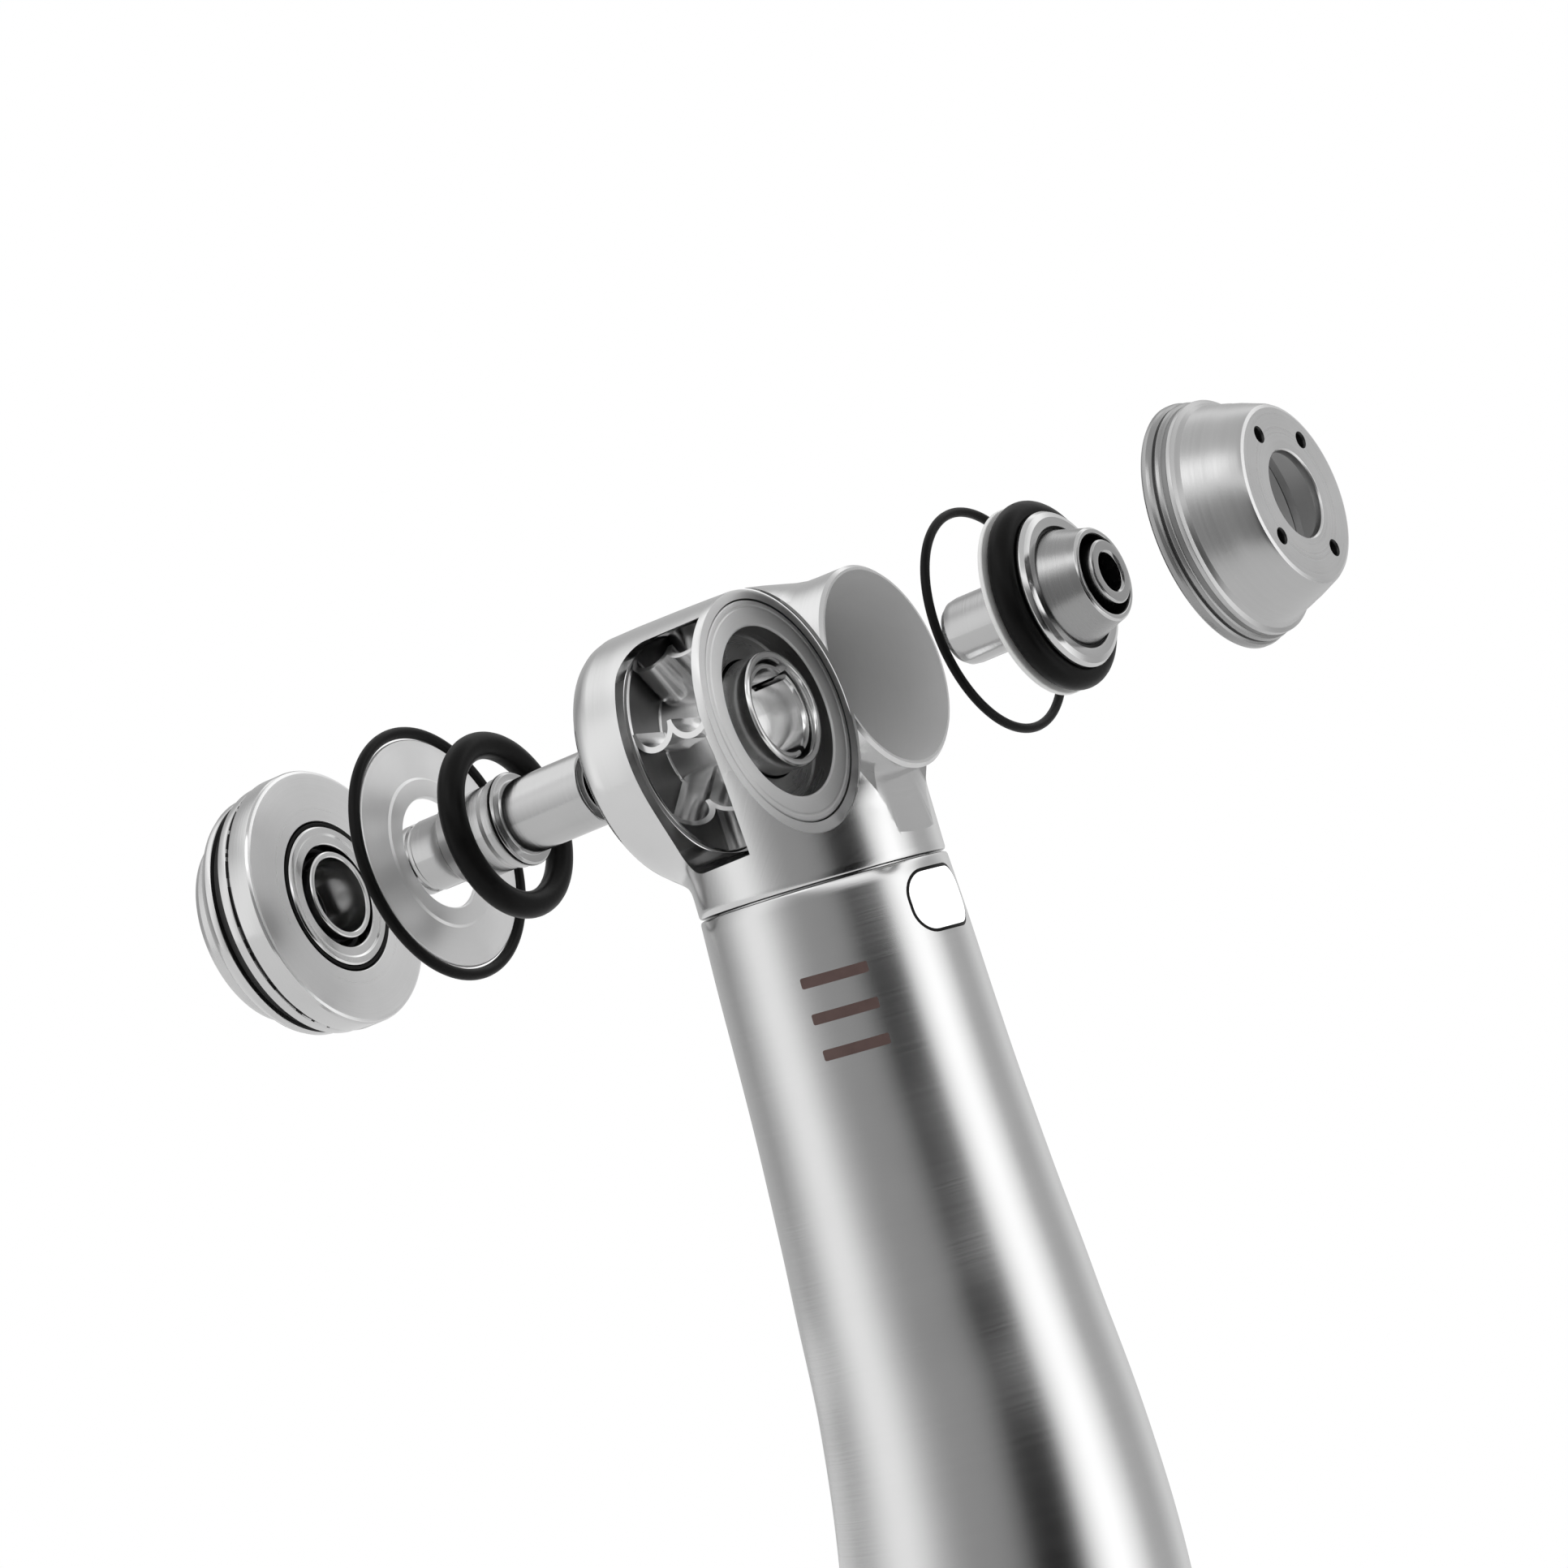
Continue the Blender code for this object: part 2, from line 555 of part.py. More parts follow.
# ================================================================ rear stack
spindle = turned("spindle", [
    (1.25, 8.40), (1.75, 8.40), (1.83, 8.30), (1.83, 3.75), (2.30, 3.64), (2.30, 3.40), (2.18, 3.30),
    (2.08, 2.6), (2.08, 0.12), (1.98, 0.0), (1.73, 0.0), (1.73, -1.75), (1.60, -1.95),
    (1.70, -2.15), (1.70, -2.6), (1.45, -2.88), (1.25, -2.88)], at(U_SPINDLE), steps=SMALL, look=BRIGHT)
thick_ring = turned("rear_damper_ring", ring_profile(3.95, 0.65, 8), at(U_ORING), steps=24, look=RUBBER)
thin_ring = turned("rear_seal_ring", ring_profile(6.02, 0.28, 6), at(U_WASHER), steps=32, look=RUBBER)
washer = turned("rear_washer", [
    (5.64, 0.09), (5.64, -0.11), (3.74, -0.11), (2.74, -0.14), (2.74, 0.18), (3.62, 0.18), (3.74, 0.09)],
    at(U_WASHER), look=BRIGHT)

back_cap = turned("back_cap", [
    (6.22, 0.0), (6.36, -0.16), (6.36, -1.26), (6.12, -1.34), (6.12, -1.48),
    (6.24, -1.56), (6.24, -2.04), (5.74, -2.18), (5.74, -2.66), (6.00, -2.76), (5.98, -3.10),
    (5.60, -3.60), (5.02, -3.74), (5.02, -2.92), (1.98, -2.92), (1.98, -2.42),
    (3.74, -2.42), (3.74, 0.0)], at(U_CAP))
damper = turned("bearing_damper", [
    (3.69, -0.02), (3.69, -2.2), (3.52, -2.2), (3.52, -0.02)], at(U_CAP), look=RUBBER)
finish(back_cap, STEEL)
bearing_out = turned("rear_bearing_outer", [
    (3.40, 0.10), (3.48, 0.02), (3.48, -2.30), (2.96, -2.30), (2.96, -0.22), (2.57, -0.16), (2.57, 0.10)],
    at(U_CAP), look=BRIGHT)
bearing_in = turned("rear_bearing_inner", [
    (2.16, 0.25), (2.16, -2.30), (1.86, -2.30), (1.86, 0.25)],
    at(U_CAP), steps=SMALL, look=BRIGHT)


def cage(name, origin, rc, ball, count, wall, z_mid, z_half):
    """Ring of balls held in their cage, one solid."""
    obj = turned(name, [(rc + wall, z_mid + z_half), (rc + wall, z_mid - z_half),
                        (rc - wall, z_mid - z_half), (rc - wall, z_mid + z_half)], origin, steps=SMALL)
    bm = bmesh.new()
    for k in range(count):
        a = math.tau * k / count
        bmesh.ops.create_icosphere(bm, subdivisions=1, radius=ball * MM,
                                   matrix=Matrix.Translation((rc * MM * math.cos(a), rc * MM * math.sin(a), z_mid * MM)))
    mesh = bpy.data.meshes.new(name + "_balls")
    bm.to_mesh(mesh)
    bm.free()
    balls = cutter(name + "_balls", mesh, origin, HEAD_TILT)
    boolean(obj, balls, "UNION")
    return bake(obj)


rear_cage = cage("rear_ball_cage", at(U_CAP), 2.555, 0.355, 7, 0.10, -1.15, 0.34)
finish(rear_cage, dict(color=(0.05, 0.05, 0.055), metallic=0.2, rough=0.4))

button = turned("push_button", [
    (0.0, -2.25), (0.85, -2.25), (0.85, -3.80), (4.95, -3.80), (4.95, -4.40),
    (4.80, -4.72), (4.40, -4.92), (2.6, -5.02), (0.0, -5.08)],
    at(U_CAP), closed=False, look=STEEL)
# return spring between the cap's web and the button
SP_N, SP_T = 22, 1.6
spring = bmesh.new()
rings = []
for i in range(SP_N + 1):
    t = i / SP_N
    a = math.tau * SP_T * t
    rr = 3.1 + 0.9 * t
    centre = Vector((rr * math.cos(a), rr * math.sin(a), -3.10 - 0.52 * t))
    tang = Vector((-math.sin(a), math.cos(a), 0.0))
    out = Vector((math.cos(a), math.sin(a), 0.0))
    rings.append([spring.verts.new((centre + out * 0.14 * math.cos(b) + Vector((0, 0, 1)) * 0.14 * math.sin(b)) * MM)
                  for b in (math.tau * k / 5 for k in range(5))])
for a, b in zip(rings, rings[1:]):
    for i in range(5):
        j = (i + 1) % 5
        spring.faces.new((a[i], a[j], b[j], b[i]))
spring.faces.new(rings[0])
spring.faces.new(rings[-1])
bmesh.ops.recalc_face_normals(spring, faces=spring.faces)
mesh = bpy.data.meshes.new("button_spring")
spring.to_mesh(mesh)
spring.free()
smooth(mesh)
spring_obj = bpy.data.objects.new("button_spring", mesh)
place(spring_obj, at(U_CAP), HEAD_TILT)
finish(spring_obj, BRIGHT)

# ================================================================ front stack
front_thin = turned("front_seal_ring", ring_profile(5.13, 0.20, 6), at(U_FRING), steps=32, look=RUBBER)
front_thick = turned("front_damper_ring", ring_profile(3.82, 0.62, 8), at(U_FUNIT), steps=24, look=RUBBER)
carrier = turned("front_bearing_carrier", [
    (2.12, 2.86), (2.26, 2.60), (2.66, 1.22), (2.72, 0.98), (2.84, 0.98), (2.84, 1.13), (3.36, 1.13),
    (3.68, 0.84), (3.68, 0.68), (3.14, 0.66), (3.14, -0.64), (2.62, -0.64), (2.62, 1.00), (1.88, 1.02),
    (1.88, 2.86)], at(U_FUNIT), steps=24)
finish(carrier, STEEL)
backing = turned("front_seal_disc", [
    (4.36, -0.68), (4.40, -0.72), (4.40, -0.90), (1.86, -0.90), (1.86, -0.68)], at(U_FUNIT),
    look=dict(color=(0.9, 0.9, 0.88), metallic=0.0, rough=0.4))
journal = turned("front_journal", [
    (1.00, 3.22), (1.42, 3.22), (1.50, 3.12), (1.50, 0.95), (1.72, 0.90), (1.72, -1.10), (1.56, -1.30),
    (1.56, -4.55), (1.46, -5.02), (1.30, -5.24), (0.90, -5.24), (0.90, 3.12)],
    at(U_FUNIT), steps=SMALL, look=BRIGHT)
front_cage = cage("front_ball_cage", at(U_FUNIT), 2.165, 0.385, 7, 0.10, 0.15, 0.36)
finish(front_cage, dict(color=(0.05, 0.05, 0.055), metallic=0.2, rough=0.4))

front_cap = turned("front_cap", [
    (4.00, 4.31), (4.20, 4.20), (4.62, 3.15), (4.80, 2.62), (5.08, 1.72),
    (5.42, 1.42), (5.42, 1.20), (5.32, 1.06), (5.52, 0.84), (5.48, 0.58),
    (5.66, 0.42), (5.68, 0.10), (5.56, 0.0), (5.41, 0.0),
    (5.41, 1.36), (4.66, 1.36), (4.60, 1.80), (4.20, 1.95), (2.62, 3.84), (2.02, 3.90), (2.02, 4.25), (2.08, 4.31)],
    at(U_FCAP), steps=32)
for k, deg in enumerate(SPRAY_ANGLES):
    # angle measured from +Y towards the head's upper side
    a = math.radians(deg)
    p = at(U_FCAP) + AY * (3.16 * math.cos(a)) + Vector((-H.z, 0, H.x)) * (3.16 * math.sin(a))
    hole = turned_cutter("spray_%d" % k, [(0.0, 5.2), (0.33, 5.2), (0.33, 2.6), (0.0, 2.6)],
                         p, steps=10)
    boolean(front_cap, hole, "DIFFERENCE")
bake(front_cap)
finish(front_cap, STEEL)

bpy.context.view_layer.update()
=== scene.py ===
import math

import bmesh
import bpy
import numpy as np
from mathutils import Matrix, Vector


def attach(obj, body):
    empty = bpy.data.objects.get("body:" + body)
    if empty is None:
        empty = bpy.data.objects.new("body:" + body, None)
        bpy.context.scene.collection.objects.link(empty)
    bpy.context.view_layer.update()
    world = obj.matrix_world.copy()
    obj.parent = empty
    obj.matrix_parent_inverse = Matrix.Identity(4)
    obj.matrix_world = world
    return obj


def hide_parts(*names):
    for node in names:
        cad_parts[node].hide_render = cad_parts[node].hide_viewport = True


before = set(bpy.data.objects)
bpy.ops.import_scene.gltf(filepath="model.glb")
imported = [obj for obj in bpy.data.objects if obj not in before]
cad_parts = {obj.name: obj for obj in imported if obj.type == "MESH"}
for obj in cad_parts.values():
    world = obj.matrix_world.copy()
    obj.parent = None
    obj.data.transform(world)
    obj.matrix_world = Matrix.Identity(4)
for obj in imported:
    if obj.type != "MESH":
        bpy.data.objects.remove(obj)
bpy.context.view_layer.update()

MM = 0.001

# ------------------------------------------------------------------ the frame's own dimensions, in mm
HEAD_TILT = math.radians(67.0)
NECK_TILT = math.radians(19.3)
NECK_STRAIGHT = 31.0
BEND_LENGTH = 26.0
NECK_TOP_Z = 116.0
NECK_U = -0.4
SEAM_S = 8.2
SLEEVE_REAR_Z = 15.0
WALL = 0.8
PILL_S = 10.3
PILL_W, PILL_H, PILL_R = 4.5, 3.0, 1.25
CHAMBER_R = 5.42
U_CAP, U_WASHER, U_ORING, U_SPINDLE = -26.8, -20.46, -16.3, -18.95
U_FRING, U_FUNIT, U_FCAP = 12.22, 15.46, 24.26
SPRAY_ANGLES = (47.0, 116.5, 213.7, 302.0)

H = Vector((math.sin(HEAD_TILT), 0.0, math.cos(HEAD_TILT)))
UP = Vector((-H.z, 0.0, H.x))
NECK = Vector((math.sin(NECK_TILT), 0.0, -math.cos(NECK_TILT)))
NAX = Vector((math.cos(NECK_TILT), 0.0, math.sin(NECK_TILT)))
AY = Vector((0.0, 1.0, 0.0))
BEND_R = BEND_LENGTH / NECK_TILT
NECK_X = -(NECK_STRAIGHT * math.sin(NECK_TILT) + BEND_R * (1.0 - math.cos(NECK_TILT)))
P_NECK = Vector((NECK_X, 0.0, NECK_TOP_Z))
C = P_NECK - H * NECK_U
GRIP_Z = NECK_TOP_Z - NECK_STRAIGHT * math.cos(NECK_TILT) - BEND_R * math.sin(NECK_TILT)
PATH_END = NECK_STRAIGHT + BEND_LENGTH + GRIP_Z
VIEW = Vector((0.5145, -0.8471, 0.1316)).normalized()

STEPS = 144
scrap = []


def at(u):
    return C + H * u


def s_of_z(z):
    return PATH_END - z


# ------------------------------------------------------------------ mesh helpers
def fillet(pts, r=0.05, closed=True, n=3, least=16.0):
    """Profile with every corner turned over a small radius."""
    out, m = [], len(pts)
    for i, p in enumerate(pts):
        if not closed and i in (0, m - 1):
            out.append(tuple(p))
            continue
        p0, a, b = Vector(p), Vector(pts[i - 1]), Vector(pts[(i + 1) % m])
        va, vb = a - p0, b - p0
        la, lb = va.length, vb.length
        if la < 1e-6 or lb < 1e-6:
            continue
        turn = math.pi - va.angle(vb)
        if turn < math.radians(least):
            out.append(tuple(p))
            continue
        d = min(r * math.tan(turn / 2.0), 0.42 * la, 0.42 * lb)
        s, e = p0 + va / la * d, p0 + vb / lb * d
        for k in range(n + 1):
            t = k / n
            q = s * (1 - t) ** 2 + p0 * 2 * t * (1 - t) + e * t * t
            out.append((q.x, q.y))
    return out


def mesh_object(name, bm, angle=32.0):
    bmesh.ops.recalc_face_normals(bm, faces=bm.faces)
    mesh = bpy.data.meshes.new(name)
    bm.to_mesh(mesh)
    bm.free()
    for p in mesh.polygons:
        p.use_smooth = True
    mesh.set_sharp_from_angle(angle=math.radians(angle))
    obj = bpy.data.objects.new(name, mesh)
    bpy.context.scene.collection.objects.link(obj)
    return obj


def revolve(name, profile, origin, tilt=HEAD_TILT, steps=STEPS, closed=True, angle=32.0):
    """Turned solid with its vertices in the row frame."""
    M = Matrix.Translation(origin * MM) @ Matrix.Rotation(tilt, 4, "Y")
    bm = bmesh.new()
    rings = []
    for r, z in profile:
        if r < 1e-6:
            rings.append([bm.verts.new(M @ Vector((0, 0, z * MM)))])
        else:
            rings.append([bm.verts.new(M @ Vector((r * MM * math.cos(a), r * MM * math.sin(a), z * MM)))
                          for a in (math.tau * k / steps for k in range(steps))])
    if closed:
        rings.append(rings[0])
    for a, b in zip(rings, rings[1:]):
        for i in range(steps):
            j = (i + 1) % steps
            if len(a) == 1 and len(b) == 1:
                break
            if len(a) == 1:
                bm.faces.new((a[0], b[j], b[i]))
            elif len(b) == 1:
                bm.faces.new((a[i], a[j], b[0]))
            else:
                bm.faces.new((a[i], a[j], b[j], b[i]))
    return mesh_object(name, bm, angle)


def ring_profile(rc, r, n=26, flat=None):
    pts = []
    for i in range(n):
        a = -math.tau * i / n
        x = rc + r * math.cos(a)
        if flat is not None:
            x = max(x, flat)
        pts.append((x, r * math.sin(a)))
    return pts


def path(s):
    if s <= NECK_STRAIGHT:
        return P_NECK + NECK * s, NECK_TILT
    if s <= NECK_STRAIGHT + BEND_LENGTH:
        phi = NECK_TILT * (1.0 - (s - NECK_STRAIGHT) / BEND_LENGTH)
        start = P_NECK + NECK * NECK_STRAIGHT
        return start + Vector((BEND_R * (math.cos(phi) - math.cos(NECK_TILT)), 0.0,
                               -BEND_R * (math.sin(NECK_TILT) - math.sin(phi)))), phi
    return Vector((0.0, 0.0, GRIP_Z - (s - NECK_STRAIGHT - BEND_LENGTH))), 0.0


def on_path(s, r, a, ox=0.0, oy=0.0):
    p, phi = path(s)
    return (p + Vector((math.cos(phi), 0, math.sin(phi))) * (ox + r * math.cos(a)) + AY * (oy + r * math.sin(a))) * MM


def loft(name, stations, n, offset=(0.0, 0.0), hollow=None, angle=32.0):
    bm = bmesh.new()
    rings = [[bm.verts.new(on_path(s, r, math.tau * i / n, *offset)) for i in range(n)] for s, r in stations]
    if hollow:
        rings += [[bm.verts.new(on_path(s, r, math.tau * i / n, *offset)) for i in range(n)] for s, r in reversed(hollow)]
        rings.append(rings[0])
    for a, b in zip(rings, rings[1:]):
        for i in range(n):
            j = (i + 1) % n
            bm.faces.new((a[i], a[j], b[j], b[i]))
    if not hollow:
        bm.faces.new(rings[0])
        bm.faces.new(rings[-1])
    return mesh_object(name, bm, angle)


def prism(name, points, half, origin, matrix, n_side=1):
    """Closed outline (x, y) pushed out by half each way along the matrix's Z."""
    M = Matrix.Translation(origin * MM) @ matrix
    bm = bmesh.new()
    lo = [bm.verts.new(M @ Vector((x * MM, y * MM, -half * MM))) for x, y in points]
    hi = [bm.verts.new(M @ Vector((x * MM, y * MM, half * MM))) for x, y in points]
    m = len(points)
    for i in range(m):
        j = (i + 1) % m
        bm.faces.new((lo[i], lo[j], hi[j], hi[i]))
    bm.faces.new(lo)
    bm.faces.new(hi)
    return mesh_object(name, bm)


def cut(obj, tools, how="DIFFERENCE"):
    for t in tools if isinstance(tools, (list, tuple)) else [tools]:
        m = obj.modifiers.new("cut", "BOOLEAN")
        m.solver = "EXACT"
        m.operation = how
        m.object = t
        scrap.append(t)
    return obj


def settle(obj, angle=32.0):
    """The object's mesh becomes the result of its modifiers."""
    dep = bpy.context.evaluated_depsgraph_get()
    dep.update()
    mesh = bpy.data.meshes.new_from_object(obj.evaluated_get(dep))
    obj.modifiers.clear()
    bm = bmesh.new()
    bm.from_mesh(mesh)
    bmesh.ops.remove_doubles(bm, verts=bm.verts, dist=3e-7)
    bmesh.ops.dissolve_degenerate(bm, dist=2e-7, edges=bm.edges)
    bm.to_mesh(mesh)
    bm.free()
    obj.data = mesh
    for p in mesh.polygons:
        p.use_smooth = True
    mesh.set_sharp_from_angle(angle=math.radians(angle))
    return obj


def rounded_rect(w, h, r, n=10):
    pts = []
    for cx, cy, a0 in ((w / 2 - r, h / 2 - r, 0), (-w / 2 + r, h / 2 - r, 90),
                       (-w / 2 + r, -h / 2 + r, 180), (w / 2 - r, -h / 2 + r, 270)):
        for i in range(n + 1):
            a = math.radians(a0 + 90.0 * i / n)
            pts.append((cx + r * math.cos(a), cy + r * math.sin(a)))
    return pts


def piece(obj, mat, body, nodes):
    """Gives a finished mesh its material, its body and the CAD nodes it stands for."""
    obj.data.materials.clear()
    for m in mat if isinstance(mat, (list, tuple)) else [mat]:
        obj.data.materials.append(m)
    w = obj.modifiers.new("normals", "WEIGHTED_NORMAL")
    w.keep_sharp = True
    w.weight = 60
    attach(obj, body)
    if nodes:
        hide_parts(*nodes)
    return obj


# ------------------------------------------------------------------ materials
class Nodes:
    """Short hand for a node tree."""

    def __init__(self, tree):
        self.t = tree

    def new(self, kind, **inputs):
        n = self.t.nodes.new(kind)
        for k, v in inputs.items():
            if hasattr(n, k) and k not in n.inputs:
                setattr(n, k, v)
        return n

    def link(self, a, b):
        self.t.links.new(a, b)

    def math(self, op, a, b=None, clamp=False):
        n = self.t.nodes.new("ShaderNodeMath")
        n.operation = op
        n.use_clamp = clamp
        for i, v in enumerate((a, b)):
            if v is None:
                continue
            if isinstance(v, (int, float)):
                n.inputs[i].default_value = v
            else:
                self.link(v, n.inputs[i])
        return n.outputs[0]

    def vec(self, op, a, b=None):
        n = self.t.nodes.new("ShaderNodeVectorMath")
        n.operation = op
        for i, v in enumerate((a, b)):
            if v is None:
                continue
            if isinstance(v, (tuple, list, Vector)):
                n.inputs[i].default_value = tuple(v)
            else:
                self.link(v, n.inputs[i])
        return n.outputs["Value"] if op in ("DOT_PRODUCT", "LENGTH", "DISTANCE") else n.outputs["Vector"]

    def noise(self, vector, scale, detail=3.0, rough=0.55, w=None):
        n = self.t.nodes.new("ShaderNodeTexNoise")
        n.inputs["Scale"].default_value = scale
        n.inputs["Detail"].default_value = detail
        n.inputs["Roughness"].default_value = rough
        if w is not None:
            n.noise_dimensions = "1D"
            self.link(w, n.inputs["W"])
        else:
            self.link(vector, n.inputs["Vector"])
        return n.outputs["Fac"] if "Fac" in n.outputs else n.outputs[0]

    def spread(self, fac, lo, hi, a=0.3, b=0.7):
        n = self.t.nodes.new("ShaderNodeMapRange")
        n.inputs["From Min"].default_value = a
        n.inputs["From Max"].default_value = b
        n.inputs["To Min"].default_value = lo
        n.inputs["To Max"].default_value = hi
        self.link(fac, n.inputs["Value"])
        return n.outputs["Result"]

    def ramp(self, fac, stops, mode="LINEAR"):
        n = self.t.nodes.new("ShaderNodeValToRGB")
        n.color_ramp.interpolation = mode
        el = n.color_ramp.elements
        while len(el) > 1:
            el.remove(el[0])
        el[0].position = stops[0][0]
        el[0].color = (*[stops[0][1]] * 3, 1.0) if isinstance(stops[0][1], (int, float)) else (*stops[0][1], 1.0)
        for p, c in stops[1:]:
            e = el.new(p)
            e.color = (*[c] * 3, 1.0) if isinstance(c, (int, float)) else (*c, 1.0)
        self.link(fac, n.inputs[0])
        return n.outputs["Color"]


def blank(name):
    m = bpy.data.materials.new(name)
    m.use_nodes = True
    return m, Nodes(m.node_tree), m.node_tree.nodes["Principled BSDF"]


def metal(name, base, rough, origin=C, axis=H, aniso=0.0, lines=0.5, pitch=9.0, mottle=0.05, spread=0.04, tint=(1.0, 1.0, 1.0),
          dirt=0.0):
    """Turned or drawn steel: fine lathe lines round an axis, faint mottling of colour and gloss."""
    m, n, b = blank(name)
    co = n.new("ShaderNodeTexCoord").outputs["Object"]
    rel = n.vec("SUBTRACT", co, tuple(origin * MM))
    along = n.vec("DOT_PRODUCT", rel, tuple(axis))
    foot = n.t.nodes.new("ShaderNodeVectorMath")
    foot.operation = "SCALE"
    foot.inputs[0].default_value = tuple(axis)
    n.link(along, foot.inputs["Scale"])
    radial = n.vec("SUBTRACT", rel, foot.outputs["Vector"])
    dist = n.vec("LENGTH", radial)
    walk = n.math("ADD", n.math("MULTIPLY", along, 1000.0), n.math("MULTIPLY", dist, 1000.0))
    fine = n.noise(None, pitch, 4.0, 0.7, w=walk)
    coarse = n.noise(co, 420.0, 3.0, 0.5)
    grain = n.noise(co, 9000.0, 2.0, 0.6)
    b.inputs["Metallic"].default_value = 1.0
    shade = n.math("ADD", n.spread(coarse, 1.0 - mottle, 1.0 + mottle), n.spread(fine, -0.02 * lines, 0.02 * lines))
    if dirt:
        shade = n.math("SUBTRACT", shade, n.spread(n.noise(co, 900.0, 5.0, 0.65), 0.0, dirt, 0.52, 0.75))
    mix = n.t.nodes.new("ShaderNodeVectorMath")
    mix.operation = "SCALE"
    mix.inputs[0].default_value = tuple(base * t for t in tint)
    n.link(shade, mix.inputs["Scale"])
    n.link(mix.outputs["Vector"], b.inputs["Base Color"])
    r = n.math("ADD", n.spread(coarse, rough - spread, rough + spread), n.spread(fine, -0.03 * lines, 0.03 * lines))
    n.link(r, b.inputs["Roughness"])
    bump = n.t.nodes.new("ShaderNodeBump")
    bump.inputs["Strength"].default_value = 0.22 * lines
    bump.inputs["Distance"].default_value = 0.00002
    n.link(n.math("ADD", fine, n.math("MULTIPLY", grain, 0.25)), bump.inputs["Height"])
    n.link(bump.outputs["Normal"], b.inputs["Normal"])
    if aniso:
        b.inputs["Anisotropic"].default_value = aniso
        ring = n.vec("CROSS_PRODUCT", tuple(axis), radial)
        world = n.t.nodes.new("ShaderNodeVectorTransform")
        world.vector_type = "VECTOR"
        world.convert_from = "OBJECT"
        world.convert_to = "WORLD"
        n.link(n.vec("NORMALIZE", ring), world.inputs[0])
        n.link(world.outputs[0], b.inputs["Tangent"])
        b.inputs["Anisotropic Rotation"].default_value = 0.25
    return m


def rubber(name, shade=0.012, rough=0.42):
    m, n, b = blank(name)
    co = n.new("ShaderNodeTexCoord").outputs["Object"]
    grain = n.noise(co, 5200.0, 4.0, 0.6)
    patch = n.noise(co, 700.0, 3.0, 0.5)
    col = n.ramp(patch, [(0.3, (shade * 0.75,) * 3), (0.7, (shade * 1.35, shade * 1.3, shade * 1.28))])
    n.link(col, b.inputs["Base Color"])
    n.link(n.spread(patch, rough - 0.06, rough + 0.08), b.inputs["Roughness"])
    b.inputs["Specular IOR Level"].default_value = 0.42
    bump = n.t.nodes.new("ShaderNodeBump")
    bump.inputs["Strength"].default_value = 0.25
    bump.inputs["Distance"].default_value = 0.00002
    n.link(grain, bump.inputs["Height"])
    n.link(bump.outputs["Normal"], b.inputs["Normal"])
    return m


def plastic(name, color, rough, var=0.06, emit=0.0, spec=0.5):
    m, n, b = blank(name)
    co = n.new("ShaderNodeTexCoord").outputs["Object"]
    patch = n.noise(co, 900.0, 4.0, 0.55)
    col = n.ramp(patch, [(0.3, tuple(c * (1 - var) for c in color)), (0.7, tuple(min(1.0, c * (1 + var)) for c in color))])
    n.link(col, b.inputs["Base Color"])
    n.link(n.spread(patch, rough - 0.05, rough + 0.05), b.inputs["Roughness"])
    b.inputs["Specular IOR Level"].default_value = spec
    bump = n.t.nodes.new("ShaderNodeBump")
    bump.inputs["Strength"].default_value = 0.15
    bump.inputs["Distance"].default_value = 0.00002
    n.link(n.noise(co, 6000.0, 3.0, 0.6), bump.inputs["Height"])
    n.link(bump.outputs["Normal"], b.inputs["Normal"])
    if emit:
        b.inputs["Emission Color"].default_value = (1.0, 1.0, 1.0, 1.0)
        b.inputs["Emission Strength"].default_value = emit
    return m


SATIN = metal("satin_steel_head", 0.66, 0.19, lines=0.35, pitch=5.0, mottle=0.012, spread=0.008)
SLEEVE = metal("satin_steel_sleeve", 0.66, 0.20, origin=P_NECK, axis=NECK, lines=0.25, pitch=4.0, mottle=0.012, spread=0.006)
# painted shade: the head's chamber and inner walls take this darker copy of its steel
CHAMBER_SHADE = metal("chamber_painted_shade", 0.36, 0.42, lines=0.9, pitch=3.0, mottle=0.12, dirt=0.12)
# painted light: the flat ring round the disc gets a pale, nearly matt steel so it stays light where it lies in shade
CUT_RING_LIGHT = metal("cut_face_painted_light", 0.88, 0.34, lines=0.3, pitch=8.0, mottle=0.015)
CUT_RING_LIGHT.node_tree.nodes["Principled BSDF"].inputs["Metallic"].default_value = 0.20
TURNED = metal("turned_steel", 0.62, 0.30, aniso=0.55, lines=0.9, pitch=7.0)
POLISHED = metal("polished_steel", 0.78, 0.17, lines=0.3, pitch=6.0)
# painted light: the impeller gets a pale, nearly matt steel so its face stays light where the head shades it
IMPELLER_LIGHT = metal("disc_painted_light", 0.90, 0.36, aniso=0.35, lines=0.5, pitch=8.0, mottle=0.015)
IMPELLER_LIGHT.node_tree.nodes["Principled BSDF"].inputs["Metallic"].default_value = 0.18
BLADE = metal("bucket_steel", 0.70, 0.22, lines=0.2, pitch=3.0, mottle=0.08)
TUBE = metal("tube_steel", 0.70, 0.28, origin=Vector((0, 0, 0)), axis=Vector((0, 0, 1)), lines=0.5, pitch=3.0)
BRASS = metal("brass", 0.62, 0.32, origin=Vector((0, 0, 0)), axis=Vector((0, 0, 1)), lines=0.8, tint=(1.0, 0.78, 0.42))
RUBBER = rubber("black_rubber", 0.0045, 0.36)
RUBBER.node_tree.nodes["Principled BSDF"].inputs["Specular IOR Level"].default_value = 0.10
SHADE = metal("shaded_steel", 0.22, 0.38, lines=1.0, pitch=4.0, mottle=0.10, dirt=0.08)
# painted shade: the cup in the impeller's face takes this darker copy of its steel
CUP_SHADE = metal("recess_painted_shade", 0.40, 0.30, lines=1.0, pitch=5.0, mottle=0.04)
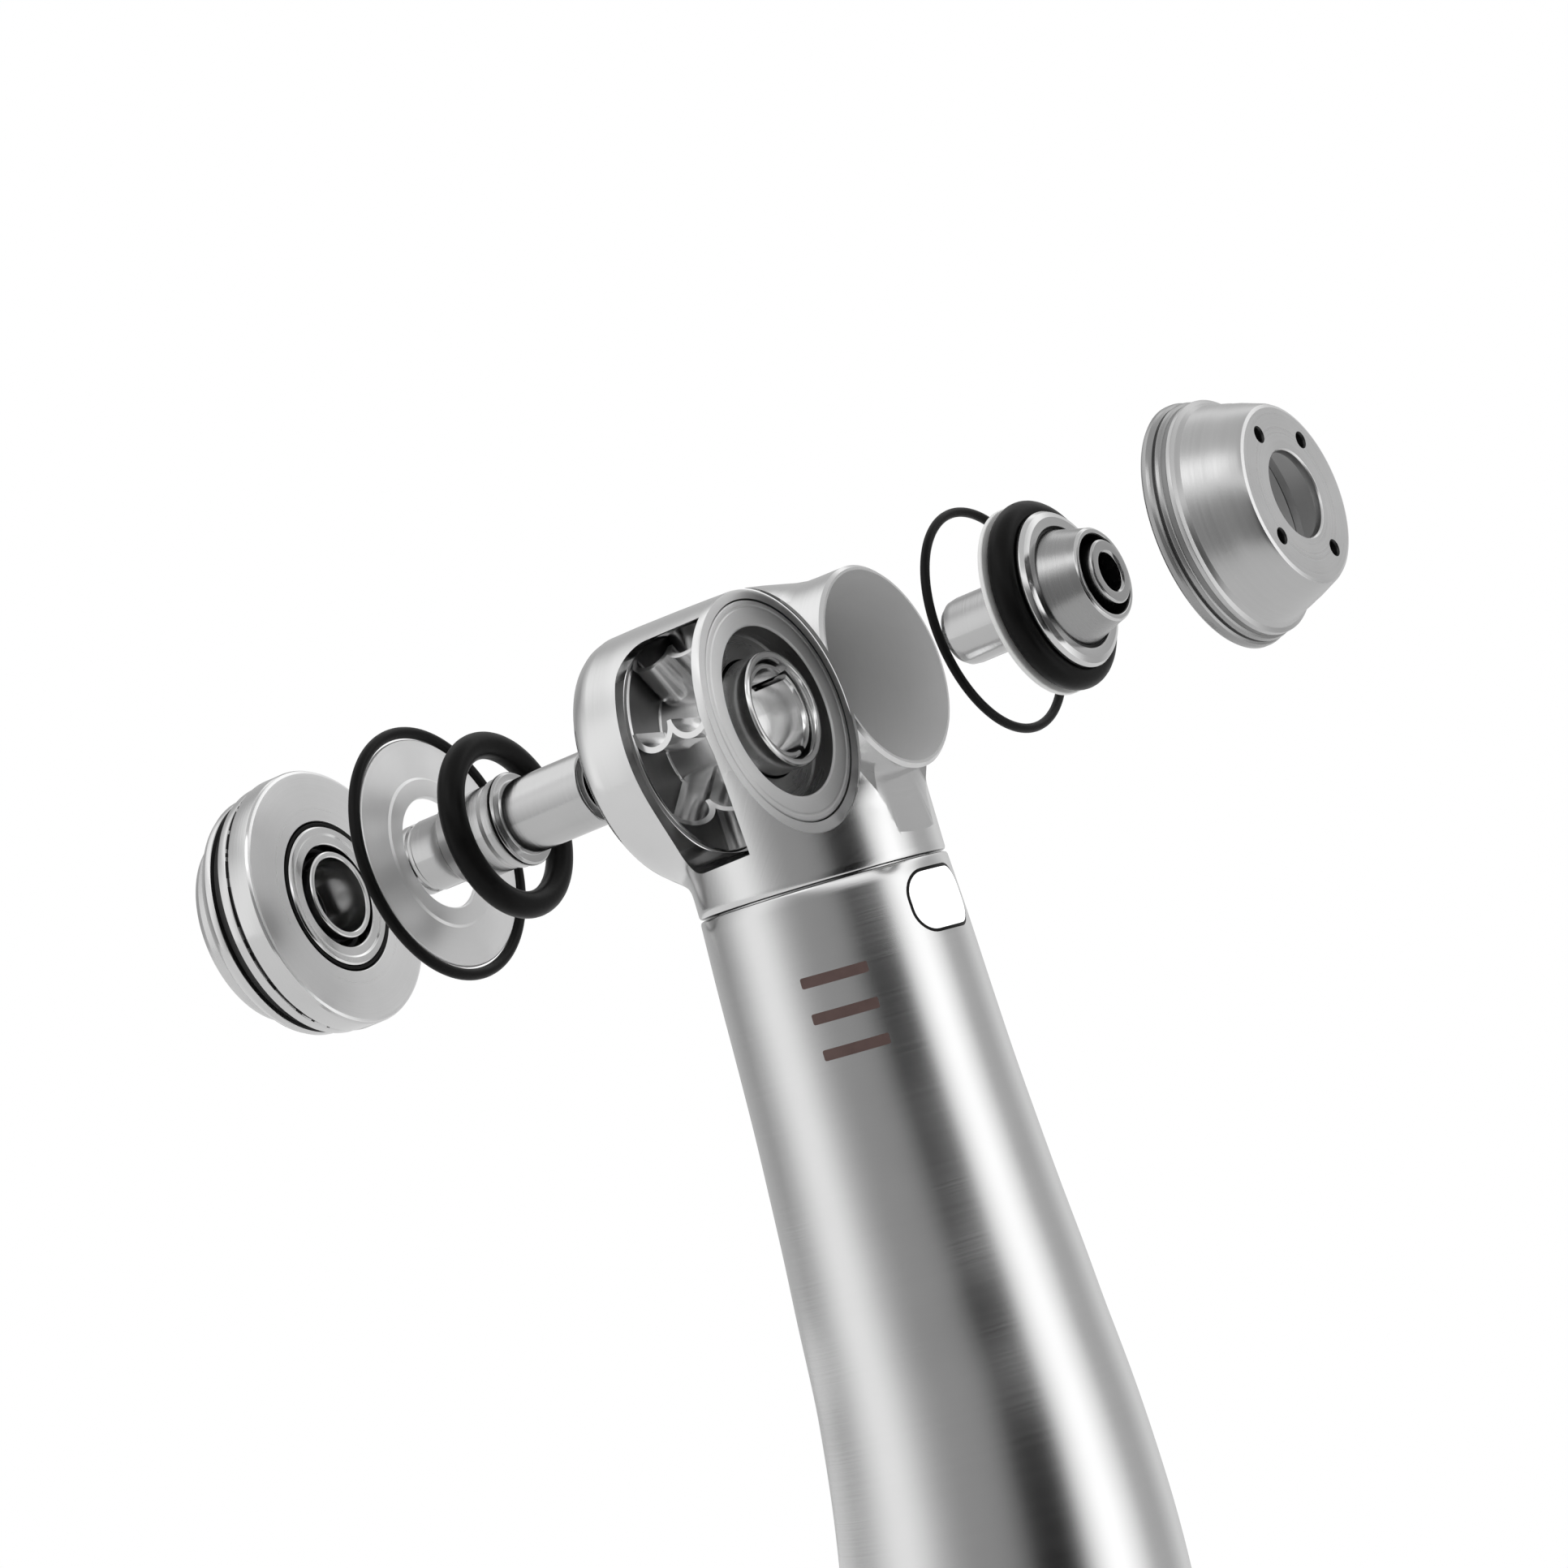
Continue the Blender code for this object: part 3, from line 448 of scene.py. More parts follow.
# painted shade: a darker steel laid on the front cap's outer ribs and on the cone of the bearing carrier
RIB_AND_CONE_SHADE = metal("rib_and_cone_painted_shade", 0.34, 0.26, lines=1.0, pitch=6.0, mottle=0.02, spread=0.01)
BORE = metal("bore_steel", 0.60, 0.60, lines=0.3, pitch=5.0, mottle=0.02, spread=0.01)
BORE.node_tree.nodes["Principled BSDF"].inputs["Metallic"].default_value = 0.15
# painted shade: near black laid in the grooves, the bores and the spray holes
GROOVE_SHADE = metal("groove_painted_shade", 0.05, 0.45, lines=0.6, pitch=5.0, mottle=0.05)
FACE = metal("faced_steel", 0.84, 0.30, aniso=0.3, lines=0.8, pitch=6.0, mottle=0.02, spread=0.01)
FACE_B = metal("faced_cap_steel", 0.66, 0.30, aniso=0.3, lines=1.2, pitch=6.0, mottle=0.03, spread=0.01)
SHAFT = metal("shaft_steel", 0.50, 0.15, lines=0.5, pitch=6.0, mottle=0.02, spread=0.008)
CAPS = metal("turned_cap_steel", 0.50, 0.33, aniso=0.2, lines=1.0, pitch=6.0, mottle=0.015, spread=0.01)
CAPS_REAR = metal("turned_rear_cap_steel", 0.62, 0.15, aniso=0.1, lines=0.6, pitch=6.0, mottle=0.012, spread=0.006)
PTFE = plastic("white_seal", (0.86, 0.86, 0.85), 0.38)
PHENOLIC = plastic("dark_cage", (0.03, 0.03, 0.034), 0.38, 0.3)
# painted glow: the light window is given a faint emission so that it shines white
GLOWING_WINDOW = plastic("window_glass", (0.93, 0.94, 0.95), 0.12, 0.02, emit=0.75)
GLASS = plastic("fibre_glass", (0.75, 0.82, 0.86), 0.08, 0.04)
INK = plastic("mark_ink", (0.112, 0.072, 0.066), 0.42, 0.1, spec=0.3)

# ------------------------------------------------------------------ head
BARREL = [(0.0, 6.2), (4.70, 6.2), (4.85, 6.05), (4.87, 4.6), (4.90, 3.9), (5.06, 3.1), (5.32, 2.2),
          (5.58, 1.3), (5.78, 0.5), (5.88, -0.1), (5.93, -1.2), (5.99, -3.0), (6.04, -5.2), (6.04, -6.75),
          (5.95, -7.15), (5.82, -7.38), (5.66, -7.5), (0.0, -7.5)]
fine = []
for (r0, z0), (r1, z1) in zip(BARREL, BARREL[1:]):
    k = max(1, int(abs(z1 - z0) / 0.28))
    fine += [(r0 + (r1 - r0) * i / k, z0 + (z1 - z0) * i / k) for i in range(k)]
fine.append(BARREL[-1])
head = revolve("head_housing_vis", fine, C, steps=176, closed=False)
NECK_R = 5.84
dome = [(NECK_R * math.sin(math.radians(a)), -4.5 + NECK_R * math.cos(math.radians(a))) for a in range(0, 90, 4)]
shaft = [(NECK_R, -4.5 - 0.3 * i) for i in range(12)]
neck = revolve("neck_solid", dome + shaft + [(NECK_R, -SEAM_S + 0.14), (NECK_R - 0.05, -SEAM_S + 0.04), (NECK_R - 0.14, -SEAM_S),
                                             (4.98, -SEAM_S), (4.98, -13.05), (0.0, -13.05)],
               P_NECK, tilt=-NECK_TILT, steps=176, closed=False)
cut(head, neck, "UNION")
settle(head)

# a soft fillet where the neck runs into the barrel
BLEND = 1.5
zs = np.array([z for r, z in BARREL if r > 0][::-1])
rs = np.array([r for r, z in BARREL if r > 0][::-1])
hv, cv, nv, pv = (np.array(v, float) for v in (H, C, NECK, P_NECK))


def field(p):
    q = p - cv
    u = q @ hv
    rho = np.linalg.norm(q - np.outer(u, hv), axis=1)
    d1 = np.maximum(rho - np.interp(u, zs, rs), np.maximum(u - 6.2, -7.5 - u))
    q = p - pv
    s = q @ nv
    rad = np.linalg.norm(q - np.outer(s, nv), axis=1)
    ball = np.linalg.norm(q - nv * 4.5, axis=1)
    d2 = np.where(s > 4.5, rad, ball) - NECK_R
    h = np.clip(0.5 + 0.5 * (d2 - d1) / BLEND, 0.0, 1.0)
    return d2 * (1 - h) + d1 * h - BLEND * h * (1 - h), (h > 0.0) & (h < 1.0) & (s < 7.6)


me = head.data
co = np.zeros(len(me.vertices) * 3)
me.vertices.foreach_get("co", co)
co = co.reshape(-1, 3) / MM
for _ in range(4):
    d, near = field(co)
    g = np.zeros_like(co)
    for k in range(3):
        e = np.zeros(3)
        e[k] = 1e-3
        g[:, k] = (field(co + e)[0] - field(co - e)[0]) / 2e-3
    g /= np.maximum(np.linalg.norm(g, axis=1), 1e-6)[:, None]
    co[near] -= (g * d[:, None])[near] * 0.9
me.vertices.foreach_set("co", (co * MM).ravel())
me.update()

side = (VIEW - H * VIEW.dot(H)).normalized()
third = H.cross(side).normalized()
chamber = revolve("chamber", [(0.0, 8.0), (4.58, 8.0), (4.58, 0.42), (CHAMBER_R, 0.42), (CHAMBER_R, -9.0), (0.0, -9.0)], C, closed=False)
relief = revolve("skirt_relief", [(7.5, 9.0), (7.5, 4.78), (4.88, 4.78), (4.88, 9.0)], C)
cavity = revolve("neck_cavity", [(0.0, -7.0), (4.0, -7.0), (4.2, -7.3), (4.2, -14.0), (0.0, -14.0)], P_NECK, tilt=-NECK_TILT, steps=64, closed=False)
ports = [revolve("port_%d" % i, [(0.0, -3.6), (r, -3.6), (r, -8.0), (0.0, -8.0)], P_NECK + NAX * ox + AY * oy,
                 tilt=-NECK_TILT, steps=32, closed=False) for i, (ox, oy, r) in enumerate(((-2.1, 0.2, 1.15), (1.35, 2.0, 0.6)))]
bm = bmesh.new()
n = 176
base, tip = [], []
for i in range(n):
    a = math.tau * i / n
    p = C + (side * math.cos(a) + third * math.sin(a)) * 5.90
    base.append(bm.verts.new(p * MM))
    tip.append(bm.verts.new((p + VIEW * 16.0) * MM))
for i in range(n):
    j = (i + 1) % n
    bm.faces.new((base[i], base[j], tip[j], tip[i]))
bm.faces.new(base)
bm.faces.new(tip)
disc_cut = mesh_object("disc_cut", bm)
S_U0, S_U1, S_M0, S_M1, S_R = -4.75, -0.42, -5.55, 5.25, 1.3
slot_pts = []
for cx, cy, a0 in ((S_U0 + S_R, S_M1 - S_R, 90), (S_U0 + S_R, S_M0 + S_R, 180)):
    for i in range(12):
        a = math.radians(a0 + 90.0 * i / 11)
        slot_pts.append((cx + S_R * math.cos(a), cy + S_R * math.sin(a)))
slot_pts += [(S_U1, S_M0), (S_U1, S_M1)]
slot_m = Matrix((H, -third, side)).transposed().to_4x4()
blade_slot = prism("blade_slot", slot_pts, 4.6, C + side * 5.0, slot_m)
for tool in (chamber, relief, cavity, *ports, disc_cut, blade_slot):
    cut(head, tool)
    settle(head, 30.0)


def paint(obj, test, index):
    """Faces whose centre (mm) and normal pass the test take the material of that index."""
    for p in obj.data.polygons:
        if test(Vector(p.center) / MM, p.normal):
            p.material_index = index


def is_inner(p, nrm):
    q = p - C
    u = q.dot(H)
    rad = (q - H * u)
    return rad.length < 5.46 and -7.6 < u < 6.3 and nrm.dot(rad) < 0.02 * rad.length and (p - P_NECK).dot(NECK) < 7.2


def in_nose(p, nrm):
    q = p - C
    u = q.dot(H)
    rad = q - H * u
    return u >= 0.6 and rad.length < 4.72 and nrm.dot(rad) < 0.02 * rad.length and (p - P_NECK).dot(NECK) < 7.2


piece(head, [SATIN, CHAMBER_SHADE, CUT_RING_LIGHT, BORE], "handpiece", ["head_housing"])
def cut_ring(p, nrm):
    return abs((p - C).dot(H)) < 0.06 and nrm.dot(H) > 0.9


# painted shade: the inner walls of the head are given the darker chamber steel
paint(head, is_inner, 1)
paint(head, in_nose, 3)
# painted light: the flat ring at the disc's plane takes the pale cut-face steel
paint(head, cut_ring, 2)

# ------------------------------------------------------------------ handle
OUTER = [(SEAM_S + 0.08, 5.74), (SEAM_S + 0.12, 5.82), (SEAM_S + 0.22, 5.86), (11.8, 6.0), (14.9, 6.09), (18.0, 6.2), (21.0, 6.36),
         (24.1, 6.55), (27.2, 6.78), (30.3, 6.98), (33.4, 7.26), (36.5, 7.54), (39.6, 7.82), (42.5, 8.02),
         (46.0, 8.16), (50.0, 8.22), (54.0, 8.22), (57.0, 8.22)]
REAR_S = s_of_z(SLEEVE_REAR_Z)


def smooth_curve(pts, step):
    """Evenly spaced points on a monotone cubic through the given ones."""
    xs = np.array([p[0] for p in pts])
    ys = np.array([p[1] for p in pts])
    h = np.diff(xs)
    d = np.diff(ys) / h
    m = np.concatenate(([d[0]], np.where(d[:-1] * d[1:] > 0, 2 * d[:-1] * d[1:] / (d[:-1] + d[1:] + 1e-12), 0.0), [d[-1]]))
    out = []
    n = int((xs[-1] - xs[0]) / step)
    for x in np.linspace(xs[0], xs[-1], n + 1):
        i = min(max(int(np.searchsorted(xs, x)) - 1, 0), len(h) - 1)
        t = (x - xs[i]) / h[i]
        y = (ys[i] * (1 + 2 * t) * (1 - t) ** 2 + h[i] * m[i] * t * (1 - t) ** 2
             + ys[i + 1] * t * t * (3 - 2 * t) + h[i] * m[i + 1] * t * t * (t - 1))
        out.append((float(x), float(y)))
    return out


OUT_FINE = smooth_curve(OUTER[2:], 0.5)


def outer_r(s):
    return float(np.interp(s, [p[0] for p in OUT_FINE], [p[1] for p in OUT_FINE]))


outer = OUTER[:2] + OUT_FINE
for g in [REAR_S - 24.0 + 6.0 * i for i in range(3)]:
    outer += [(g - 0.5, 8.22), (g - 0.38, 8.16), (g, 8.0), (g + 0.38, 8.16), (g + 0.5, 8.22)]
outer += [(REAR_S - 0.25, 8.22), (REAR_S - 0.08, 8.17), (REAR_S, 8.05)]
inner = [(SEAM_S + 0.08, 5.06), (13.4, 5.06)] + [(s, outer_r(s) - WALL) for s in np.arange(14.2, 57.0, 1.4)] + [(REAR_S, 8.22 - WALL)]
sleeve = loft("handle_sleeve_vis", outer, 176, hollow=inner)
rot_x = Matrix(((0, 0, 1), (1, 0, 0), (0, 1, 0))).to_4x4()
neck_rot = Matrix.Rotation(-NECK_TILT, 4, "Y")
pill = P_NECK + NECK * PILL_S
cut(sleeve, prism("window_pocket", rounded_rect(PILL_W, PILL_H, PILL_R), 2.5, pill + NAX * 5.4, neck_rot @ rot_x))
settle(sleeve)
piece(sleeve, SLEEVE, "handpiece", ["handle_sleeve"])


def window_piece(name, skin, grow_in, prism_obj, hole=None):
    ss = [8.45 + 0.25 * i for i in range(16)]
    obj = loft(name, [(s, outer_r(s) + skin) for s in ss], 256, hollow=[(s, outer_r(s) - WALL + grow_in) for s in ss])
    cut(obj, prism_obj, "INTERSECT")
    if hole:
        cut(obj, hole)
    return settle(obj)


def pill_prism(name, less, half):
    return prism(name, rounded_rect(PILL_W - less, PILL_H - less, PILL_R - less / 2), half, pill + NAX * 5.4, neck_rot @ rot_x)


seal = window_piece("window_seal_vis", 0.0, 0.05, pill_prism("seal_outline", 0.04, 2.0), pill_prism("seal_hole", 0.30, 2.2))
piece(seal, RUBBER, "handpiece", ["window_seal"])
lens = window_piece("light_window_vis", 0.03, -0.10, pill_prism("lens_outline", 0.32, 2.0))
# painted glow: the light window glows through its emission
piece(lens, GLOWING_WINDOW, "handpiece", ["light_window"])

# plain printed stripes on the handle where the photographed one carries its mark
RIGHT = Vector((0.8548, 0.5189, 0.0))
RIGHT = (RIGHT - VIEW * RIGHT.dot(VIEW)).normalized()
SKY = VIEW.cross(RIGHT)


def stripe(name, x0, y0, x1, y1, wide):
    """Thin printed bar between two points across the view axis, mm from the head's centre."""
    a = C + RIGHT * x0 + SKY * y0
    b = C + RIGHT * x1 + SKY * y1
    run = (b - a).normalized()
    M = Matrix((run, VIEW.cross(run), VIEW)).transposed().to_4x4()
    pts = rounded_rect((b - a).length, wide, wide * 0.18, 5)
    tool = prism(name + "_outline", pts, 9.0, (a + b) / 2 + VIEW * 6.0, M)
    ss = [11.5 + 0.35 * i for i in range(24)]
    obj = loft(name, [(s, outer_r(s) + 0.012) for s in ss], 300, hollow=[(s, outer_r(s) - 0.03) for s in ss])
    cut(obj, tool, "INTERSECT")
    return settle(obj)


for i, (x0, y0, x1, y1) in enumerate(((0.98, -12.35, 3.97, -11.5), (1.5, -13.95, 4.46, -13.1), (2.0, -15.55, 4.95, -14.7))):
    st = stripe("handle_stripe_%d" % i, x0, y0, x1, y1, 0.5)
    piece(st, INK, "handpiece", [])

# ------------------------------------------------------------------ rear end of the handle
coupling = revolve("hose_coupling_vis", fillet([
    (0.0, 19.0), (6.9, 19.0), (7.32, 18.6), (7.32, 15.0), (8.1, 14.8), (8.22, 14.6), (8.22, 9.5), (8.0, 9.2),
    (6.0, 9.2), (5.6, 8.8)]
    + [(r, 8.3 - 0.9 * i + dz) for i in range(8) for dz, r in ((0.0, 5.6), (-0.2, 6.05), (-0.45, 6.05), (-0.65, 5.6))]
    + [(5.6, 0.9), (5.45, 0.2), (5.25, 0.0), (0.0, 0.0)], 0.06, closed=False), Vector((0, 0, 0)), tilt=0.0, closed=False)
TUBES = (("exhaust_tube", -2.1, 0.2, 1.45), ("drive_air_tube", 1.35, 2.0, 1.1), ("water_tube", 1.55, -1.15, 0.55),
         ("chip_air_tube", 0.35, -3.05, 0.55), ("light_guide", 3.15, 0.0, 0.7))
cut(coupling, [revolve(nm + "_bore", [(0.0, 21.0), (ro + 0.05, 21.0), (ro + 0.05, 0.08), (ro + 0.15, -0.02), (ro + 0.15, -1.0), (0.0, -1.0)],
                       Vector((ox, oy, 0.0)), tilt=0.0, steps=40, closed=False) for nm, ox, oy, ro in TUBES])
cut(coupling, [prism("flat_%d" % k, [(-9.0, k * 7.55), (9.0, k * 7.55), (9.0, k * 9.5), (-9.0, k * 9.5)], 1.9,
                     Vector((0, 0, 11.9)), Matrix.Identity(4)) for k in (1, -1)])
settle(coupling)
COUPLING = metal("coupling_steel", 0.62, 0.30, origin=Vector((0, 0, 0)), axis=Vector((0, 0, 1)), aniso=0.4, lines=0.8)
piece(coupling, COUPLING, "handpiece", ["hose_coupling"])
piece(revolve("coupling_oring_vis", ring_profile(6.5, 0.42), Vector((0, 0, 8.72)), tilt=0.0), RUBBER, "handpiece", ["coupling_oring"])

# CAD nodes that keep their own shape: the tubes and the disc that holds them, seen only through the ends
for node, mat in (("exhaust_tube", TUBE), ("drive_air_tube", TUBE), ("water_tube", TUBE), ("chip_air_tube", TUBE),
                  ("light_guide", GLASS), ("tube_holder", BRASS)):
    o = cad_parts[node]
    o.data.materials.clear()
    o.data.materials.append(mat)

# ------------------------------------------------------------------ turbine
DISC_PROFILE = fillet([
    (5.30, 0.0), (5.35, -0.05), (5.35, -0.42), (5.30, -0.48), (4.46, -0.55), (4.34, -1.5), (3.3, -1.75),
    (3.08, -2.1), (3.02, -4.50), (3.10, -4.58), (5.20, -4.58), (5.28, -4.66), (5.28, -4.84), (5.22, -4.9), (2.48, -4.9), (2.40, -4.82), (2.40, -4.08), (1.97, -4.08), (1.97, -3.0), (2.88, -3.0),
    (2.88, -1.2), (4.02, -1.2), (4.12, -1.1), (4.12, -0.08), (4.20, 0.0),
    (4.96, 0.0), (5.0, -0.05), (5.08, -0.05), (5.12, 0.0)], 0.05)
rotor = revolve("impeller_vis", DISC_PROFILE, C, steps=176)
SCOOP_OUT, SCOOP_IN, SCOOP_GAP, U_MID, ARC, BLADES = 1.18, 0.90, 1.02, -2.52, 16, 8
crest = math.acos(SCOOP_GAP / SCOOP_OUT)
over, under = [], []
for i in range(ARC):
    a = math.pi - (math.pi - crest) * i / (ARC - 1)
    over.append((U_MID - SCOOP_GAP + SCOOP_OUT * math.cos(a), SCOOP_OUT * math.sin(a)))
for i in range(1, ARC):
    a = (math.pi - crest) * (1.0 - i / (ARC - 1))
    over.append((U_MID + SCOOP_GAP + SCOOP_OUT * math.cos(a), SCOOP_OUT * math.sin(a)))
for centre in (U_MID + SCOOP_GAP, U_MID - SCOOP_GAP):
    for i in range(ARC):
        a = math.pi * i / (ARC - 1)
        under.append((centre + SCOOP_IN * math.cos(a), SCOOP_IN * math.sin(a)))
bucket = over + under
M = Matrix.Translation(C * MM) @ Matrix.Rotation(HEAD_TILT, 4, "Y")
bm = bmesh.new()
for k in range(BLADES):
    ang = math.radians(-94.0 + 360.0 * k / BLADES)
    low, high = [], []
    for u, t in bucket:
        for rad, store in ((3.0, low), (5.22, high)):
            x = math.cos(ang) * rad - math.sin(ang) * (t - 0.62)
            y = math.sin(ang) * rad + math.cos(ang) * (t - 0.62)
            store.append(bm.verts.new(M @ Vector((x * MM, y * MM, u * MM))))
    m = len(bucket)
    for i in range(m):
        j = (i + 1) % m
        bm.faces.new((low[i], low[j], high[j], high[i]))
    bm.faces.new(low)
    top = bm.faces.new(high)
bmesh.ops.recalc_face_normals(bm, faces=bm.faces)
blades = mesh_object("blades", bm)
cut(blades, revolve("cup_clearance", [(0.0, 0.5), (4.24, 0.5), (4.24, -1.36), (0.0, -1.36)], C, closed=False))
settle(blades)
cut(rotor, blades, "UNION")
settle(rotor)
piece(rotor, [IMPELLER_LIGHT, BLADE, CUP_SHADE, SHADE], "rotor", ["impeller"])


def blade_zone(p, nrm):
    u = (p - C).dot(H)
    return u < -0.5


def plate_zone(p, nrm):
    u = (p - C).dot(H)
    return -4.62 < u < -4.54 and nrm.dot(H) > 0.9


def cup_zone(p, nrm):
    q = p - C
    u = q.dot(H)
    rad = q - H * u
    return u > -1.5 and u < -0.12 and rad.length < 4.2


paint(rotor, blade_zone, 1)
# painted shade: darker steel in the impeller's cup
paint(rotor, cup_zone, 2)
paint(rotor, plate_zone, 3)

chuck = revolve("chuck_sleeve_vis", fillet([
    (2.62, 0.35), (2.74, 0.32), (2.80, 0.22), (2.80, -2.92), (2.42, -2.92), (2.42, 0.2), (2.48, 0.31)], 0.05), C)
piece(chuck, POLISHED, "rotor", ["chuck_sleeve"])
collet = revolve("chuck_collet_vis", fillet([
    (2.20, 0.02), (2.30, -0.08), (2.34, -0.3), (2.34, -0.62), (2.22, -0.72), (2.22, -2.1), (2.34, -2.25), (2.34, -2.85),
    (1.96, -2.85), (1.96, -0.15), (2.05, 0.02)], 0.04), C)
cut(collet, [prism("collet_slit_%d" % k, [(1.5, -0.21), (2.8, -0.21), (2.8, 0.21), (1.5, 0.21)], 1.0, C,
                   Matrix.Rotation(HEAD_TILT, 4, "Y") @ Matrix.Rotation(math.radians(20.0 + 120.0 * k), 4, "Z")
                   @ Matrix.Translation((0, 0, -0.75 * MM))) for k in range(3)])
settle(collet)
piece(collet, POLISHED, "rotor", ["chuck_collet"])

# ------------------------------------------------------------------ rear stack
spindle = revolve("spindle_vis", fillet([
    (1.25, 8.40), (1.75, 8.40), (1.83, 8.32), (1.83, 3.75), (2.18, 3.72), (2.30, 3.62), (2.30, 3.42), (2.20, 3.32),
    (2.20, 2.9), (2.08, 2.6), (2.08, 0.12), (1.98, 0.0), (1.73, 0.0), (1.73, -1.75), (1.60, -1.85), (1.60, -2.05),
    (1.70, -2.15), (1.70, -2.6), (1.45, -2.88), (1.25, -2.88)], 0.06), at(U_SPINDLE))
piece(spindle, [SHAFT, GROOVE_SHADE], "spindle_body", ["spindle"])
piece(revolve("rear_damper_ring_vis", ring_profile(3.95, 0.65, 32), at(U_ORING)), RUBBER, "rear_damper", ["rear_damper_ring"])
piece(revolve("rear_seal_ring_vis", ring_profile(6.02, 0.28), at(U_WASHER)), RUBBER, "rear_seal", ["rear_seal_ring"])
washer = revolve("rear_washer_vis", fillet([
    (5.60, 0.11), (5.66, 0.05), (5.66, -0.11), (3.74, -0.11), (3.70, -0.15), (2.80, -0.15), (2.74, -0.09),
    (2.74, 0.14), (2.80, 0.20), (3.62, 0.20), (3.74, 0.11)], 0.03), at(U_WASHER))
PLATE = metal("pressed_plate", 0.90, 0.34, lines=0.3, pitch=5.0, mottle=0.02, aniso=0.3)
PLATE.node_tree.nodes["Principled BSDF"].inputs["Metallic"].default_value = 0.6
piece(washer, PLATE, "rear_seal", ["rear_washer"])

back_cap = revolve("back_cap_vis", fillet([
    (6.16, 0.0), (6.30, -0.05), (6.36, -0.18), (6.36, -1.22), (6.28, -1.32), (6.10, -1.36), (6.10, -1.48),
    (6.24, -1.56), (6.24, -2.00), (6.10, -2.12), (5.74, -2.18), (5.74, -2.66), (5.98, -2.74), (6.00, -3.05),
    (5.86, -3.32), (5.60, -3.60), (5.30, -3.72), (5.02, -3.74), (5.02, -2.92), (1.98, -2.92), (1.98, -2.42),
    (3.72, -2.42), (3.72, -0.08), (3.80, 0.0)], 0.05), at(U_CAP), steps=176)
piece(back_cap, [CAPS_REAR, GROOVE_SHADE, FACE], "rear_cap", ["back_cap"])


def groove_zone(origin, bands):
    """Test for faces that lie in one of the bands, each (u from, u to, R from, R to) in mm from the origin."""
    def test(p, nrm):
        q = p - origin
        u = q.dot(H)
        r = (q - H * u).length
        return any(a <= u <= b and lo <= r <= hi for a, b, lo, hi in bands)
    return test


def facing(origin, u0, u1, r0, r1):
    """Test for flat faces square to the barrel axis, between two heights and two radii in mm."""
    def test(p, nrm):
        q = p - origin
        u = q.dot(H)
        return nrm.dot(H) > 0.7 and u0 <= u <= u1 and r0 <= (q - H * u).length <= r1
    return test


paint(back_cap, facing(at(U_CAP), -0.1, 0.1, 3.7, 6.4), 2)
# painted shade: black in the back cap's grooves and its bearing recess
paint(back_cap, groove_zone(at(U_CAP), [(-1.52, -1.30, 6.0, 6.22), (-2.72, -2.14, 5.6, 5.95), (-2.5, 0.01, 1.9, 3.76)]), 1)
piece(revolve("bearing_damper_vis", fillet([
    (3.66, 0.0), (3.69, -0.05), (3.69, -2.15), (3.66, -2.2), (3.52, -2.2), (3.52, 0.0)], 0.03), at(U_CAP)),
    RUBBER, "rear_cap", ["bearing_damper"])
piece(revolve("rear_bearing_outer_vis", fillet([
    (3.40, 0.10), (3.48, 0.02), (3.48, -2.22), (3.40, -2.30), (3.02, -2.30), (2.96, -2.22), (2.96, -0.22),
    (2.58, -0.16), (2.56, 0.02), (2.62, 0.08), (3.02, 0.04), (3.12, 0.10)], 0.03), at(U_CAP)),
    POLISHED, "rear_cap", ["rear_bearing_outer"])
piece(revolve("rear_bearing_inner_vis", fillet([
    (2.10, 0.25), (2.16, 0.19), (2.16, -2.24), (2.10, -2.30), (1.90, -2.30), (1.86, -2.24), (1.86, 0.19), (1.92, 0.25)],
    0.03), at(U_CAP)), POLISHED, "rear_inner_race", ["rear_bearing_inner"])


def ball_cage(name, origin, rc, ball, count, wall, z_mid, z_half):
    obj = revolve(name, fillet([(rc + wall, z_mid + z_half), (rc + wall, z_mid - z_half),
                                (rc - wall, z_mid - z_half), (rc - wall, z_mid + z_half)], 0.03), origin)
    bm = bmesh.new()
    Mo = Matrix.Translation(origin * MM) @ Matrix.Rotation(HEAD_TILT, 4, "Y")
    for k in range(count):
        a = math.tau * k / count
        bmesh.ops.create_icosphere(bm, subdivisions=3, radius=ball * MM,
                                   matrix=Mo @ Matrix.Translation((rc * MM * math.cos(a), rc * MM * math.sin(a), z_mid * MM)))
    cut(obj, mesh_object(name + "_balls", bm), "UNION")
    return settle(obj)


piece(ball_cage("rear_ball_cage_vis", at(U_CAP), 2.555, 0.355, 7, 0.10, -1.15, 0.34), PHENOLIC, "rear_cage", ["rear_ball_cage"])
button = revolve("push_button_vis", fillet([
    (0.0, -2.25), (0.80, -2.25), (0.85, -2.32), (0.85, -3.80), (4.90, -3.80), (4.97, -3.88), (4.97, -4.40),
    (4.80, -4.72), (4.40, -4.92), (3.90, -4.97), (3.80, -4.88), (3.66, -4.88), (3.56, -4.97), (1.6, -5.06), (0.0, -5.08)],
    0.05, closed=False), at(U_CAP), closed=False)
piece(button, TURNED, "button", ["push_button"])

